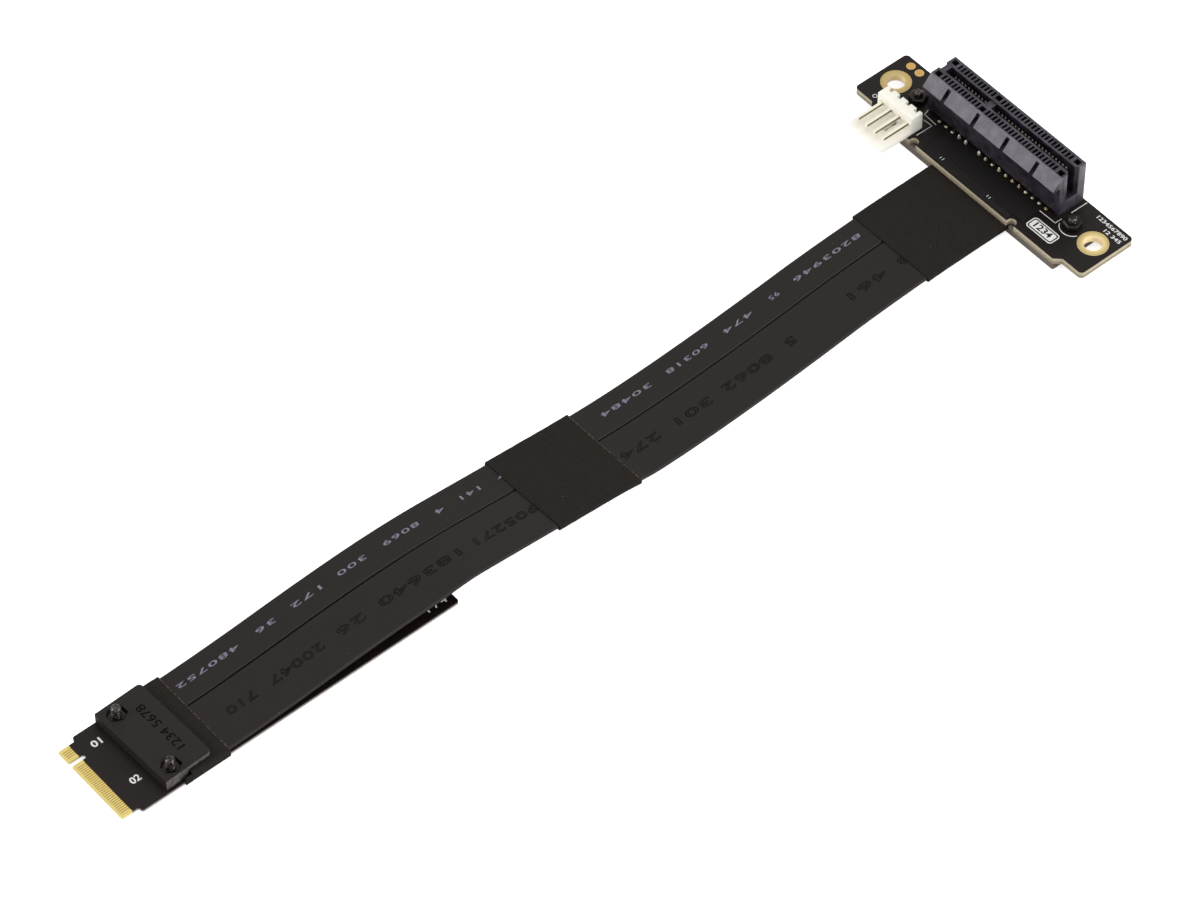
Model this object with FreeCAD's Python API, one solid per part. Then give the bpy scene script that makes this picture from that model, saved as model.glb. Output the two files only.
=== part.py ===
"""An M.2 to PCI Express x4 riser: an M.2 2280 edge card, two flat ribbon cables side by side,
and a small riser board that carries an open-ended x4 slot and a four-pin power header.

Frame: millimetres, +Z up, Z = 0 on the surface that the riser lies on.  +X runs from the
card's contact edge to the riser board, +Y to the card's notched side.  The origin is under
the centre of the rigid pieces' box.
"""
import FreeCAD, Part
import math
import os

V = FreeCAD.Vector

# ---------------------------------------------------------------- driving dimensions (mm)
SPAN = 241.7                # card's contact edge to the riser board's back edge
RISER_OFFSET = 5.55         # riser board's centre line from the card's centre line, in +Y

# M.2 card
CARD_WIDTH = 22.0
CARD_LENGTH = 80.0
CARD_THICK = 0.8
TONGUE_WIDTH = 19.85
TONGUE_LENGTH = 4.0
TONGUE_BEVEL = 0.45         # bevels along the contact edge; the contacts start behind them
TONGUE_BEVEL_RISE = 0.2
KEY_OFFSET = 6.125          # key notch's centre from the card's centre line
KEY_WIDTH = 1.2
KEY_DEPTH = 3.5
FINGER_PITCH = 0.5
FINGER_WIDTH = 0.35
FINGER_LENGTH = 1.9
FINGER_PLACES = 38          # places across the tongue, before the key takes some away
KEY_PLACES = (29, 30, 31, 32)
END_NOTCH_RADIUS = 1.75     # half-round notch for the card's holding screw
END_RING_WIDTH = 1.0
CARD_CORNER = 0.5
PLATING = 0.05              # thickness of copper and gold on a board's face

# screws and nuts, all M2
SCREW_RADIUS = 0.95
SCREW_HOLE_RADIUS = 1.1
HEAD_RADIUS = 1.9
HEAD_HEIGHT = 1.6
HEAD_ROUND = 0.4
NUT_FLATS = 3.6
NUT_BEVEL = 0.25
NUT_BORE_RADIUS = 1.0
CLAMP_NUT_HEIGHT = 1.3
COVER_NUT_HEIGHT = 1.6
DRIVER_RECESS = 0.7
CLAMP_SCREW_LENGTH = 5.0    # under the head
COVER_SCREW_LENGTH = 6.0    # whole length, countersunk

# clamp cover over the cable's soldered ends on the card
CLAMP_START = 9.9           # front face from the contact edge
CLAMP_LENGTH = 10.9
CLAMP_WIDTH = 21.4
CLAMP_HEIGHT = 2.5
CLAMP_SHIFT = 0.5           # its middle from the card's centre line, in +Y
CLAMP_TURN = 1.8            # degrees that it sits askew
CLAMP_ROOF = 0.9
CLAMP_FOOT = 3.9            # length of the front wall that stands on the card
CLAMP_SCREW_SPACING = 16.2
CLAMP_SCREW_X = 3.2         # screws from the clamp's front face
CLAMP_BOSS_WALL = 0.3
CLAMP_NUT_SINK = 0.7        # nut's top below the clamp's face
NUT_CLEARANCE = 0.12
CLAMP_CORNER = 0.9

# ribbon cables
LEFT_WIDTH = 8.6
RIGHT_WIDTH = 13.0
RIBBON_GAP = 0.2
RIBBON_THICK = 1.0
CONDUCTOR = 0.3
CONDUCTOR_PITCH = 1.15
CONDUCTOR_EDGE = 0.9        # outermost conductor's centre from its ribbon's edge, at least
SOLDER_PAD_WIDTH = 0.5
SOLDER_PAD_LENGTH = 1.5
STRIPPED_LENGTH = 2.3       # bare conductor from the ribbon's end to its tip
STRIPPED_BEND = 1.1         # slanting part, from the ribbon's middle to the pad's level
STRIPPED_CLEAR = 0.08       # between the ribbon's end and the conductor's own solid

# tape
TAPE = 0.25                 # thickness over the flat faces
TAPE_SIDE = 0.45            # thickness at a ribbon's edge
TAPE_FIT = 0.03
CARD_TAPE_RISE = 0.13       # room over the ribbons, which start to rise inside the tape
CARD_TAPE_START = 14.0
CARD_TAPE_END = 24.5
CARD_TAPE_SIDE = 0.35
CARD_TAPE_ROUND = 0.5
MID_TAPE_START = 105.0
MID_TAPE_LENGTH = 21.0
RISER_TAPE_LENGTH = 22.0

# riser board: across = along the slot, deep = from the back edge towards the cable
BOARD_LENGTH = 68.2
BOARD_THICK = 1.6
EAR_DEPTH = 14.6
EAR_LENGTH = 5.4
BOARD_DEPTH = 16.1          # between the ears; the steps to it run at 45 degrees
NOTCH_SPACING = 29.4        # two notches in the front edge, either side of the cable
NOTCH_WIDTH = 2.1
NOTCH_DEPTH = 1.45
BOARD_CORNER = 1.0
MOUNT_SPACING = 59.2
MOUNT_DEEP = 7.1
MOUNT_RADIUS = 2.0
MOUNT_WALL = 0.15           # plated wall of a mounting hole
MOUNT_RING_RADIUS = 3.3
TEST_PAD_RADIUS = 1.0
TEST_PAD_EDGE = 1.75        # test pads' centres from the back edge
TEST_PADS = (3.2, 5.8)      # test pads' centres from the board's left end
COVER_SCREW_SPACING = 46.2
COVER_SCREW_DEEP = 7.0

# bottom cover
COVER_HEIGHT = 2.2
COVER_FLOOR = 0.8
COVER_WALL = 0.7
COVER_LENGTH = 53.6
COVER_DEPTH = 15.5
COVER_CENTRE = 0.3          # its middle, and its screws', from the board's
COVER_SETBACK = 0.2         # in front of the board's back edge
COVER_CORNER = 0.4
COVER_NUT_TURN = -14        # degrees that the nuts on top were left turned
COVER_BOSS_RADIUS = 2.9
HEAD_SINK = 0.15            # a cover screw's head below the cover's face

# insulating film on the riser board, between the slot and the front edge
FILM_THICK = 0.12
FILM_LEFT = -12.0
FILM_RIGHT = 16.0
FILM_EDGE = 0.4

# x4 slot
KEY_ACROSS = -5.0           # key's centre from the board's centre
SLOT_CENTRE_DEEP = 3.9      # card gap's centre from the board's back edge
SLOT_HEIGHT = 11.1
SLOT_HALF_WIDTH = 3.5
SLOT_LEFT = 14.4            # key to the closed end
SLOT_RIGHT = 24.6           # key to the open end
SLOT_STANDOFF = 0.6
SLOT_FOOT = 1.0
GAP_HALF_WIDTH = 0.95
GAP_FLOOR = 3.3
GAP_LEFT = 12.65            # key to the gap's closed end
SLOT_KEY_WIDTH = 1.7
SLOT_KEY_DROP = 0.3
PITCH = 1.0
PLACES_LEFT = 11
PLACES_RIGHT = 21
KEY_TO_FIRST = 1.5
CAVITY_WIDTH = 0.62
CAVITY_INNER = 1.45         # from the gap's centre
CAVITY_LENGTH = 1.5
LIP_HEIGHT = 1.5
PANEL_INSET = 0.35          # sloping front panel's top edge, inside the wall's face
PANEL_FLARE = 2.0           # its lower edge, outside the wall's face
PANEL_DROP = 2.65
PANEL_LIP = 0.3
PANEL_GROOVE = 1.0
PANEL_GROOVE_PITCH = 8.8
PANEL_GROOVE_OFFSET = 0.3   # the groove nearest the key, from the key
PANEL_GROOVES = (-1, 0, 1, 2)
WINDOW_WIDTH = 1.45
WINDOW_LENGTH = 1.3
WINDOW_DEPTH = 3.0
OPEN_END_LEAD = 0.7         # chamfer inside the gap's open end
END_WINDOW_INSET = 1.3
END_GROOVE_WIDTH = 2.1
END_GROOVE_DEPTH = 0.5
CONTACT_THICK = 0.2
CONTACT_WIDTH = 0.42
CONTACT_STEM = 2.7          # foot of the spring, from the gap's centre
TAIL_OUTER = 3.9
TAIL_INNER = 1.9
TAIL_BACK_OUTER = 2.2
TAIL_BACK_INNER = 1.2
TAIL_HOLE = 0.62
TAIL_BELOW = 0.5            # tail's end below the board

# power header
HEADER_ACROSS = -21.6       # header's centre from the board's centre
HEADER_DEEP = 11.85         # back face from the board's back edge
HEADER_WIDTH = 10.3
HEADER_WALL = 3.05
HEADER_HEIGHT = 4.5
TRAY_LENGTH = 8.1
TRAY_THICK = 1.0
HEADER_PITCH = 2.54
HEADER_PINS = 4
HEADER_PIN = 0.64
PIN_HEIGHT = 2.4
PIN_REACH = 6.7             # pin's tip from the wall's front face
PIN_FIT = 0.04
LEG_HOLE = 0.84
LEG_GROOVE_WIDTH = 0.9
LEG_GROOVE_DEPTH = 0.9
TRAY_SLOT_OFFSET = 1.15     # from the header's middle
TRAY_SLOT_WIDTH = 0.8
TRAY_SLOT_LENGTH = 4.0

# ------------------------------------------------------------------- derived levels (mm)
CARD_BOTTOM = HEAD_HEIGHT
CARD_TOP = CARD_BOTTOM + CARD_THICK
BOARD_BOTTOM = COVER_HEIGHT
BOARD_TOP = BOARD_BOTTOM + BOARD_THICK
TIP_X = -SPAN / 2
CARD_Y = -RISER_OFFSET
BACK_X = SPAN / 2
PAIR_WIDTH = LEFT_WIDTH + RIBBON_GAP + RIGHT_WIDTH

# Centre line of the cable pair: x from the card's contact edge, y from the card's centre
# line, z above the floor.  It leaves the card in a low hump, comes down through the middle
# tape, lies on the floor and rises a little to enter under the riser board.
CABLE_ROUTE = [
    (18.5, 0.00, 2.93),
    (26.0, 0.00, 2.99),
    (40.0, 0.00, 3.72),
    (56.0, 0.00, 5.10),
    (71.0, 0.00, 5.85),
    (83.0, 0.00, 5.62),
    (94.0, 0.00, 4.62),
    (106.0, 0.00, 3.22),
    (126.0, 0.22, 1.08),
    (140.0, 0.42, 0.56),
    (158.0, 0.85, 0.54),
    (176.0, 1.85, 0.58),
    (190.0, 2.55, 0.86),
    (214.0, 2.92, 1.37),
    (230.0, 2.90, 1.43),
]
RIGHT_OFFSET = -PAIR_WIDTH / 2 + RIGHT_WIDTH / 2
LEFT_OFFSET = PAIR_WIDTH / 2 - LEFT_WIDTH / 2


# ------------------------------------------------------------------------------- helpers
def box(x0, x1, y0, y1, z0, z1):
    """An upright box between two corners."""
    return Part.makeBox(x1 - x0, y1 - y0, z1 - z0, V(x0, y0, z0))


def rod(x, y, z0, z1, radius):
    """An upright round rod."""
    return Part.makeCylinder(radius, z1 - z0, V(x, y, z0))


def on_card(x, y):
    """A place on the card: x from its contact edge, y from its centre line."""
    return TIP_X + x, CARD_Y + y


def on_riser(across, deep):
    """A place on the riser board: across towards the slot's open end, deep from its back."""
    return BACK_X - deep, -across


def riser_box(across0, across1, deep0, deep1, z0, z1):
    """An upright box in the riser board's own directions."""
    return box(BACK_X - deep1, BACK_X - deep0, -across1, -across0, z0, z1)


def prism(points, z0, z1):
    """An upright prism over a closed outline of (x, y) points."""
    wire = Part.makePolygon([V(x, y, z0) for x, y in points + points[:1]])
    return Part.Face(wire).extrude(V(0, 0, z1 - z0))


def side_prism(points, y0, y1):
    """A prism along Y over a closed outline of (x, z) points."""
    wire = Part.makePolygon([V(x, y0, z) for x, z in points + points[:1]])
    return Part.Face(wire).extrude(V(0, y1 - y0, 0))


def round_uprights(shape, radius, keep):
    """Rounds the upright edges whose middle satisfies keep(x, y)."""
    edges = []
    for edge in shape.Edges:
        low, high = edge.Vertexes[0].Point, edge.Vertexes[-1].Point
        upright = abs(low.x - high.x) < 1e-6 and abs(low.y - high.y) < 1e-6
        if upright and keep(low.x, low.y):
            edges.append(edge)
    return shape.makeFillet(radius, edges)


def strip_outline(points, thick):
    """Both sides of a thin strip bent along 2-D points, with mitred corners."""
    directions = []
    for (a0, b0), (a1, b1) in zip(points, points[1:]):
        run = math.hypot(a1 - a0, b1 - b0)
        directions.append(((a1 - a0) / run, (b1 - b0) / run))
    sides = ([], [])
    for i, (a, b) in enumerate(points):
        before = directions[max(i - 1, 0)]
        after = directions[min(i, len(directions) - 1)]
        na, nb = -(before[1] + after[1]), before[0] + after[0]
        size = math.hypot(na, nb)
        na, nb = na / size, nb / size
        reach = thick / 2 / (na * -after[1] + nb * after[0])
        sides[0].append((a + na * reach, b + nb * reach))
        sides[1].append((a - na * reach, b - nb * reach))
    return sides[0] + sides[1][::-1]


def strip_along_x(points, y, width, thick):
    """A strip bent in the X-Z plane, centred on y."""
    return side_prism(strip_outline(points, thick), y - width / 2, y + width / 2)


def hexagon(x, y, z0, z1, flats, turn=0):
    """An upright hexagonal prism; two corners lie along Y before its turn in degrees."""
    corner = flats / math.sqrt(3)
    turns = [math.radians(60 * i + 30 + turn) for i in range(6)]
    return prism([(x + corner * math.cos(t), y + corner * math.sin(t)) for t in turns], z0, z1)


def hex_nut(x, y, z0, height, turn=0):
    """A hex nut with a bevelled top."""
    body = hexagon(x, y, z0, z0 + height, NUT_FLATS, turn)
    rim = [e for e in body.Edges if e.BoundBox.ZMin > z0 + height / 2]
    return body.makeChamfer(NUT_BEVEL, rim).cut(rod(x, y, z0 - 1, z0 + height + 1,
                                                    NUT_BORE_RADIUS))


def cross_recess(x, y, z0, z1):
    """The cross-shaped driver recess of a screw head."""
    arm, half = 1.1, 0.22
    return box(x - arm, x + arm, y - half, y + half, z0, z1).fuse(
        box(x - half, x + half, y - arm, y + arm, z0, z1))


def group(solids):
    """Separate solids kept as one node."""
    return Part.makeCompound(solids)


# ------------------------------------------------------------------------ flat cable runs
def smooth_path(points):
    """Straight runs joined by tangent arcs, as pieces of (point, normal) samples."""
    def direction(p, q):
        run = math.hypot(q[0] - p[0], q[1] - p[1])
        return ((q[0] - p[0]) / run, (q[1] - p[1]) / run, run)

    pieces, radii = [], []
    here = points[0]
    for before, corner, after in zip(points, points[1:], points[2:]):
        ax, ay, run_in = direction(before, corner)
        bx, by, run_out = direction(corner, after)
        turn = math.atan2(ax * by - ay * bx, ax * bx + ay * by)
        if abs(turn) < 1e-5:
            continue
        reach = 0.45 * min(run_in, run_out)
        radii.append(reach / math.tan(abs(turn) / 2))
        start = (corner[0] - ax * reach, corner[1] - ay * reach)
        end = (corner[0] + bx * reach, corner[1] + by * reach)
        side = math.copysign(1, turn)
        centre = (start[0] - ay * side * radii[-1], start[1] + ax * side * radii[-1])
        mx, my, _ = direction((0, 0), (ax + bx, ay + by))
        middle = (centre[0] + my * side * radii[-1], centre[1] - mx * side * radii[-1])
        if math.dist(here, start) > 1e-6:
            pieces.append([(here, (-ay, ax)), (start, (-ay, ax))])
        pieces.append([(start, (-ay, ax)), (middle, (-my, mx)), (end, (-by, bx))])
        here = end
    lx, ly, _ = direction(here, points[-1])
    pieces.append([(here, (-ly, lx)), (points[-1], (-ly, lx))])
    return pieces, radii


def path_length(pieces):
    """Length of a smooth path."""
    total = 0.0
    for piece in pieces:
        first, last = piece[0][0], piece[-1][0]
        if len(piece) == 2:
            total += math.dist(first, last)
        else:
            half_chord = math.dist(first, last) / 2
            rise = math.dist(piece[1][0], ((first[0] + last[0]) / 2, (first[1] + last[1]) / 2))
            radius = (half_chord ** 2 + rise ** 2) / (2 * rise)
            total += 2 * radius * math.asin(half_chord / radius)
    return total


def band(pieces, width, place):
    """The flat face that lies width / 2 to each side of a smooth path."""
    def side(piece, offset):
        pts = [place(p[0] + n[0] * offset, p[1] + n[1] * offset) for p, n in piece]
        if len(pts) == 2:
            return Part.LineSegment(*pts).toShape()
        return Part.Arc(*pts).toShape()

    edges = [side(piece, width / 2) for piece in pieces]
    edges.append(Part.LineSegment(edges[-1].Vertexes[-1].Point,
                                  side(pieces[-1], -width / 2).Vertexes[-1].Point).toShape())
    edges += [side(piece, -width / 2) for piece in reversed(pieces)]
    edges.append(Part.LineSegment(edges[-1].Vertexes[0].Point,
                                  edges[0].Vertexes[0].Point).toShape())
    return Part.Face(Part.Wire(Part.__sortEdges__(edges)))


def flat_run(offset, width, thick):
    """A flat cable of the given section, offset sideways from the pair's centre line.

    It is the part shared by the route's side view, thickened, and its plan, widened.
    """
    side_view, _ = smooth_path([(TIP_X + x, z) for x, y, z in CABLE_ROUTE])
    plan, _ = smooth_path([(TIP_X + x, CARD_Y + y + offset) for x, y, z in CABLE_ROUTE])
    upright = band(side_view, thick, lambda x, z: V(x, -60, z)).extrude(V(0, 120, 0))
    level = band(plan, width, lambda x, y: V(x, y, -5)).extrude(V(0, 0, 30))
    return upright.common(level).Solids[0]


def route_report():
    """Prints the cable's arc radii, its length and how its solids' volumes compare."""
    side_view, radii_side = smooth_path([(x, z) for x, y, z in CABLE_ROUTE])
    plan, radii_plan = smooth_path([(x, y) for x, y, z in CABLE_ROUTE])
    length = path_length(side_view) + path_length(plan) - (CABLE_ROUTE[-1][0] - CABLE_ROUTE[0][0])
    print("side-view radii", [round(r) for r in radii_side])
    print("plan radii", [round(r) for r in radii_plan])
    print("cable length", round(length, 2))
    return length


# -------------------------------------------------------------------------------- the card
def clamp_screw_places():
    """The clamp's screws before its turn."""
    x = CLAMP_START + CLAMP_SCREW_X
    return [on_card(x, CLAMP_SHIFT + side * CLAMP_SCREW_SPACING / 2) for side in (1, -1)]


def askew(shape):
    """A shape turned about the clamp's middle, as the clamp sits on the card."""
    turned = shape.copy()
    x, y = on_card(CLAMP_START + CLAMP_LENGTH / 2, CLAMP_SHIFT)
    turned.rotate(V(x, y, 0), V(0, 0, 1), CLAMP_TURN)
    return turned


def make_card():
    """FR4 card: bevelled contact tongue, key notch, screw holes and half-round end notch."""
    half, tongue = CARD_WIDTH / 2, TONGUE_WIDTH / 2
    outline = [(0, -tongue), (0, tongue), (TONGUE_LENGTH, tongue), (TONGUE_LENGTH, half),
               (CARD_LENGTH, half), (CARD_LENGTH, -half), (TONGUE_LENGTH, -half),
               (TONGUE_LENGTH, -tongue)]
    board = prism([on_card(x, y) for x, y in outline], CARD_BOTTOM, CARD_TOP)
    board = round_uprights(board, CARD_CORNER, lambda x, y: x > TIP_X + 1)
    side = [(0, TONGUE_BEVEL_RISE), (TONGUE_BEVEL, 0), (CARD_LENGTH, 0),
            (CARD_LENGTH, CARD_THICK), (TONGUE_BEVEL, CARD_THICK),
            (0, CARD_THICK - TONGUE_BEVEL_RISE)]
    board = board.common(side_prism([(TIP_X + x, CARD_BOTTOM + z) for x, z in side],
                                    CARD_Y - half, CARD_Y + half))
    key_x, key_y = on_card(KEY_DEPTH - KEY_WIDTH / 2, KEY_OFFSET)
    cuts = [box(TIP_X - 1, key_x, key_y - KEY_WIDTH / 2, key_y + KEY_WIDTH / 2, 0, 9),
            rod(key_x, key_y, 0, 9, KEY_WIDTH / 2),
            rod(*on_card(CARD_LENGTH, 0), 0, 9, END_NOTCH_RADIUS)]
    cuts += [askew(rod(x, y, 0, 9, SCREW_HOLE_RADIUS)) for x, y in clamp_screw_places()]
    return board.cut(group(cuts))


def make_fingers(places, first_y, z0):
    """A row of contact pads on the tongue, leaving out the key's places."""
    pads = []
    for i in range(places):
        if i in KEY_PLACES:
            continue
        x, y = on_card(TONGUE_BEVEL, first_y + FINGER_PITCH * i)
        pads.append(box(x, x + FINGER_LENGTH, y - FINGER_WIDTH / 2, y + FINGER_WIDTH / 2,
                        z0, z0 + PLATING))
    return group(pads)


def make_end_ring():
    """Plated half rings round the card's end notch, on both faces."""
    x, y = on_card(CARD_LENGTH, 0)
    rings = []
    for z in (CARD_BOTTOM - PLATING, CARD_TOP):
        ring = rod(x, y, z, z + PLATING, END_NOTCH_RADIUS + END_RING_WIDTH)
        ring = ring.cut(rod(x, y, z - 1, z + 1, END_NOTCH_RADIUS))
        rings.append(ring.common(box(x - 9, x - 0.1, y - 9, y + 9, z - 1, z + 1)))
    return group(rings)


def conductor_offsets():
    """Sideways places of the conductors, centred in each ribbon."""
    places = []
    for offset, width in ((LEFT_OFFSET, LEFT_WIDTH), (RIGHT_OFFSET, RIGHT_WIDTH)):
        count = int((width - 2 * CONDUCTOR_EDGE) / CONDUCTOR_PITCH + 1e-6) + 1
        first = offset - CONDUCTOR_PITCH * (count - 1) / 2
        places += [first + CONDUCTOR_PITCH * i for i in range(count)]
    return places


def make_conductors(end_point, direction, pad_face, pad_side):
    """Stripped conductors from a ribbon end to their pads' faces.

    direction is the way they point along X; pad_side is 1 where they lie on top of the pads.
    """
    x, y, z = TIP_X + end_point[0], CARD_Y + end_point[1], end_point[2]
    level = pad_face + pad_side * CONDUCTOR / 2
    line = [(x + direction * STRIPPED_CLEAR, z), (x + direction * STRIPPED_BEND, level),
            (x + direction * STRIPPED_LENGTH, level)]
    return group([strip_along_x(line, y + offset, CONDUCTOR, CONDUCTOR)
                  for offset in conductor_offsets()])


def make_solder_pads(end_point, direction, z0):
    """The row of pads under the stripped conductors' tips."""
    tip = TIP_X + end_point[0] + direction * (STRIPPED_LENGTH + 0.15)
    root = tip - direction * SOLDER_PAD_LENGTH
    half = SOLDER_PAD_WIDTH / 2
    return group([box(min(tip, root), max(tip, root), CARD_Y + end_point[1] + offset - half,
                      CARD_Y + end_point[1] + offset + half, z0, z0 + PLATING)
                  for offset in conductor_offsets()])


def clamp_nut_floor():
    return CARD_TOP + CLAMP_HEIGHT - CLAMP_NUT_SINK - CLAMP_NUT_HEIGHT


def clamp_boss_reach():
    """From a screw's centre to the outside of its boss, along the cable."""
    return NUT_FLATS / 2 + NUT_CLEARANCE + CLAMP_BOSS_WALL


def make_clamp():
    """Moulded clamp cover: front wall and nut bosses on the card, thin roof over the joints."""
    x0, middle = on_card(CLAMP_START, CLAMP_SHIFT)
    half = CLAMP_WIDTH / 2
    top = CARD_TOP + CLAMP_HEIGHT
    foot = box(x0, x0 + CLAMP_FOOT, middle - half, middle + half, CARD_TOP, top)
    roof = box(x0, x0 + CLAMP_LENGTH, middle - half, middle + half, top - CLAMP_ROOF, top)
    pocket_flats = NUT_FLATS + 2 * NUT_CLEARANCE
    bosses, cuts = [], []
    for x, y in clamp_screw_places():
        side = math.copysign(1, y - middle)
        inner = y - side * (pocket_flats / math.sqrt(3) + CLAMP_BOSS_WALL)
        bosses.append(box(x0, x + clamp_boss_reach(), *sorted((middle + side * half, inner)),
                          CARD_TOP, top))
        cuts.append(hexagon(x, y, clamp_nut_floor(), top + 1, pocket_flats))
        cuts.append(rod(x, y, 0, clamp_nut_floor() + 1, SCREW_HOLE_RADIUS))
    clamp = foot.fuse([roof] + bosses).removeSplitter()
    clamp = round_uprights(clamp, CLAMP_CORNER, lambda x, y: x > x0 + CLAMP_LENGTH - 0.1)
    return askew(clamp.cut(group(cuts)))


def make_clamp_nuts():
    return askew(group([hex_nut(x, y, clamp_nut_floor(), CLAMP_NUT_HEIGHT)
                        for x, y in clamp_screw_places()]))


def make_clamp_screws():
    """Pan-head screws from below the card; their heads carry the card's end."""
    screws = []
    for x, y in clamp_screw_places():
        head = rod(x, y, HEAD_ROUND, HEAD_HEIGHT, HEAD_RADIUS)
        head = head.fuse(Part.makeCone(HEAD_RADIUS - HEAD_ROUND, HEAD_RADIUS, HEAD_ROUND,
                                       V(x, y, 0)))
        screw = head.fuse(rod(x, y, HEAD_HEIGHT / 2, HEAD_HEIGHT + CLAMP_SCREW_LENGTH,
                              SCREW_RADIUS))
        screws.append(screw.cut(cross_recess(x, y, -1, DRIVER_RECESS)))
    return askew(group(screws))


def make_card_tape():
    """Tape sleeve round the card and the two ribbons where they leave the clamp."""
    ribbon_top = CARD_TOP + RIBBON_THICK + CARD_TAPE_RISE
    half = CARD_WIDTH / 2 + CARD_TAPE_SIDE + TAPE_FIT
    x0, x1 = TIP_X + CARD_TAPE_START, TIP_X + CARD_TAPE_END
    sleeve = box(x0, x1, CARD_Y - half, CARD_Y + half, CARD_BOTTOM - TAPE, ribbon_top + TAPE)
    edges = [e for e in sleeve.Edges if e.BoundBox.XLength > 1]
    sleeve = sleeve.makeFillet(CARD_TAPE_ROUND, edges)
    card_half = CARD_WIDTH / 2 + TAPE_FIT
    pair_half = PAIR_WIDTH / 2 + TAPE_FIT
    room = box(x0 - 1, x1 + 1, CARD_Y - card_half, CARD_Y + card_half,
               CARD_BOTTOM - TAPE_FIT / 2, CARD_TOP + TAPE_FIT)
    room = room.fuse(box(x0 - 1, x1 + 1, CARD_Y - pair_half, CARD_Y + pair_half,
                         CARD_TOP, ribbon_top))
    screw_x = TIP_X + CLAMP_START + CLAMP_SCREW_X
    clamp_half = CLAMP_WIDTH / 2 + TAPE_FIT
    clamp_room = box(x0 - 1, screw_x + clamp_boss_reach() + TAPE_FIT,
                     CARD_Y + CLAMP_SHIFT - clamp_half, CARD_Y + CLAMP_SHIFT + clamp_half,
                     CARD_TOP, ribbon_top + 1)
    head_room = box(x0 - 1, screw_x + HEAD_RADIUS + NUT_CLEARANCE, CARD_Y - card_half,
                    CARD_Y + card_half, CARD_BOTTOM - 1, CARD_BOTTOM)
    return sleeve.cut(room).cut(askew(clamp_room)).cut(askew(head_room))


# ------------------------------------------------------------------------------- the cable
def make_cable_tape(start, length):
    """Tape wound flat round both ribbons over part of their length."""
    sleeve = flat_run(0, PAIR_WIDTH + 2 * TAPE_SIDE, RIBBON_THICK + 2 * TAPE)
    inner = flat_run(0, PAIR_WIDTH + 2 * TAPE_FIT, RIBBON_THICK + 2 * TAPE_FIT)
    stretch = box(TIP_X + start, TIP_X + start + length, -60, 60, -5, 30)
    return sleeve.cut(inner).common(stretch)


# ------------------------------------------------------------------------- the riser board
def mount_places():
    return [on_riser(side * MOUNT_SPACING / 2, MOUNT_DEEP) for side in (-1, 1)]


def cover_screw_places():
    return [on_riser(COVER_CENTRE + side * COVER_SCREW_SPACING / 2, COVER_SCREW_DEEP)
            for side in (-1, 1)]


def contact_places():
    """Slot places as (across from the key, True where the tail is in the outer row)."""
    left = [-KEY_TO_FIRST - PITCH * i for i in reversed(range(PLACES_LEFT))]
    right = [KEY_TO_FIRST + PITCH * i for i in range(PLACES_RIGHT)]
    return [(across, number % 2 == 1) for number, across in enumerate(left + right)]


def tail_deeps(outer):
    """Front and back tails' distances from the gap's centre, front positive."""
    return (TAIL_OUTER, -TAIL_BACK_OUTER) if outer else (TAIL_INNER, -TAIL_BACK_INNER)


def header_pin_places():
    first = HEADER_ACROSS - HEADER_PITCH * (HEADER_PINS - 1) / 2
    return [first + HEADER_PITCH * i for i in range(HEADER_PINS)]


def leg_deep():
    return HEADER_DEEP + LEG_GROOVE_DEPTH / 2


def make_riser_board():
    """Riser board: ears with plated mounting holes, notched front edge, drilled for tails."""
    half = BOARD_LENGTH / 2
    step = half - EAR_LENGTH
    rise = BOARD_DEPTH - EAR_DEPTH
    outline = [(-half, 0), (-half, EAR_DEPTH), (-step, EAR_DEPTH), (-step + rise, BOARD_DEPTH),
               (step - rise, BOARD_DEPTH), (step, EAR_DEPTH), (half, EAR_DEPTH), (half, 0)]
    board = prism([on_riser(a, d) for a, d in outline], BOARD_BOTTOM, BOARD_TOP)
    board = round_uprights(board, BOARD_CORNER, lambda x, y: abs(y) > half - 0.1)
    holes = [rod(x, y, 0, 9, MOUNT_RADIUS + MOUNT_WALL) for x, y in mount_places()]
    holes += [rod(x, y, 0, 9, SCREW_HOLE_RADIUS) for x, y in cover_screw_places()]
    for side in (-1, 1):
        across, floor = side * NOTCH_SPACING / 2, BOARD_DEPTH - NOTCH_DEPTH + NOTCH_WIDTH / 2
        holes.append(rod(*on_riser(across, floor), 0, 9, NOTCH_WIDTH / 2))
        holes.append(riser_box(across - NOTCH_WIDTH / 2, across + NOTCH_WIDTH / 2,
                               floor, BOARD_DEPTH + 1, 0, 9))
    # the drilled holes of tails and legs are kept four-sided, hidden as they are by solder
    drilled = [(KEY_ACROSS + across, SLOT_CENTRE_DEEP + deep, TAIL_HOLE / 2)
               for across, outer in contact_places() for deep in tail_deeps(outer)]
    drilled += [(across, leg_deep(), LEG_HOLE / 2) for across in header_pin_places()]
    holes += [riser_box(across - half_hole, across + half_hole, deep - half_hole,
                        deep + half_hole, 0, 9) for across, deep, half_hole in drilled]
    return board.cut(group(holes))


def make_mount_rings():
    """Plated mounting holes: a thin wall through the board and a ring on each face."""
    rings = []
    for x, y in mount_places():
        ring = rod(x, y, BOARD_BOTTOM - PLATING, BOARD_TOP + PLATING, MOUNT_RADIUS + MOUNT_WALL)
        for z in (BOARD_BOTTOM - PLATING, BOARD_TOP):
            ring = ring.fuse(rod(x, y, z, z + PLATING, MOUNT_RING_RADIUS))
        rings.append(ring.cut(rod(x, y, 0, 9, MOUNT_RADIUS)))
    return group(rings)


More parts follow.
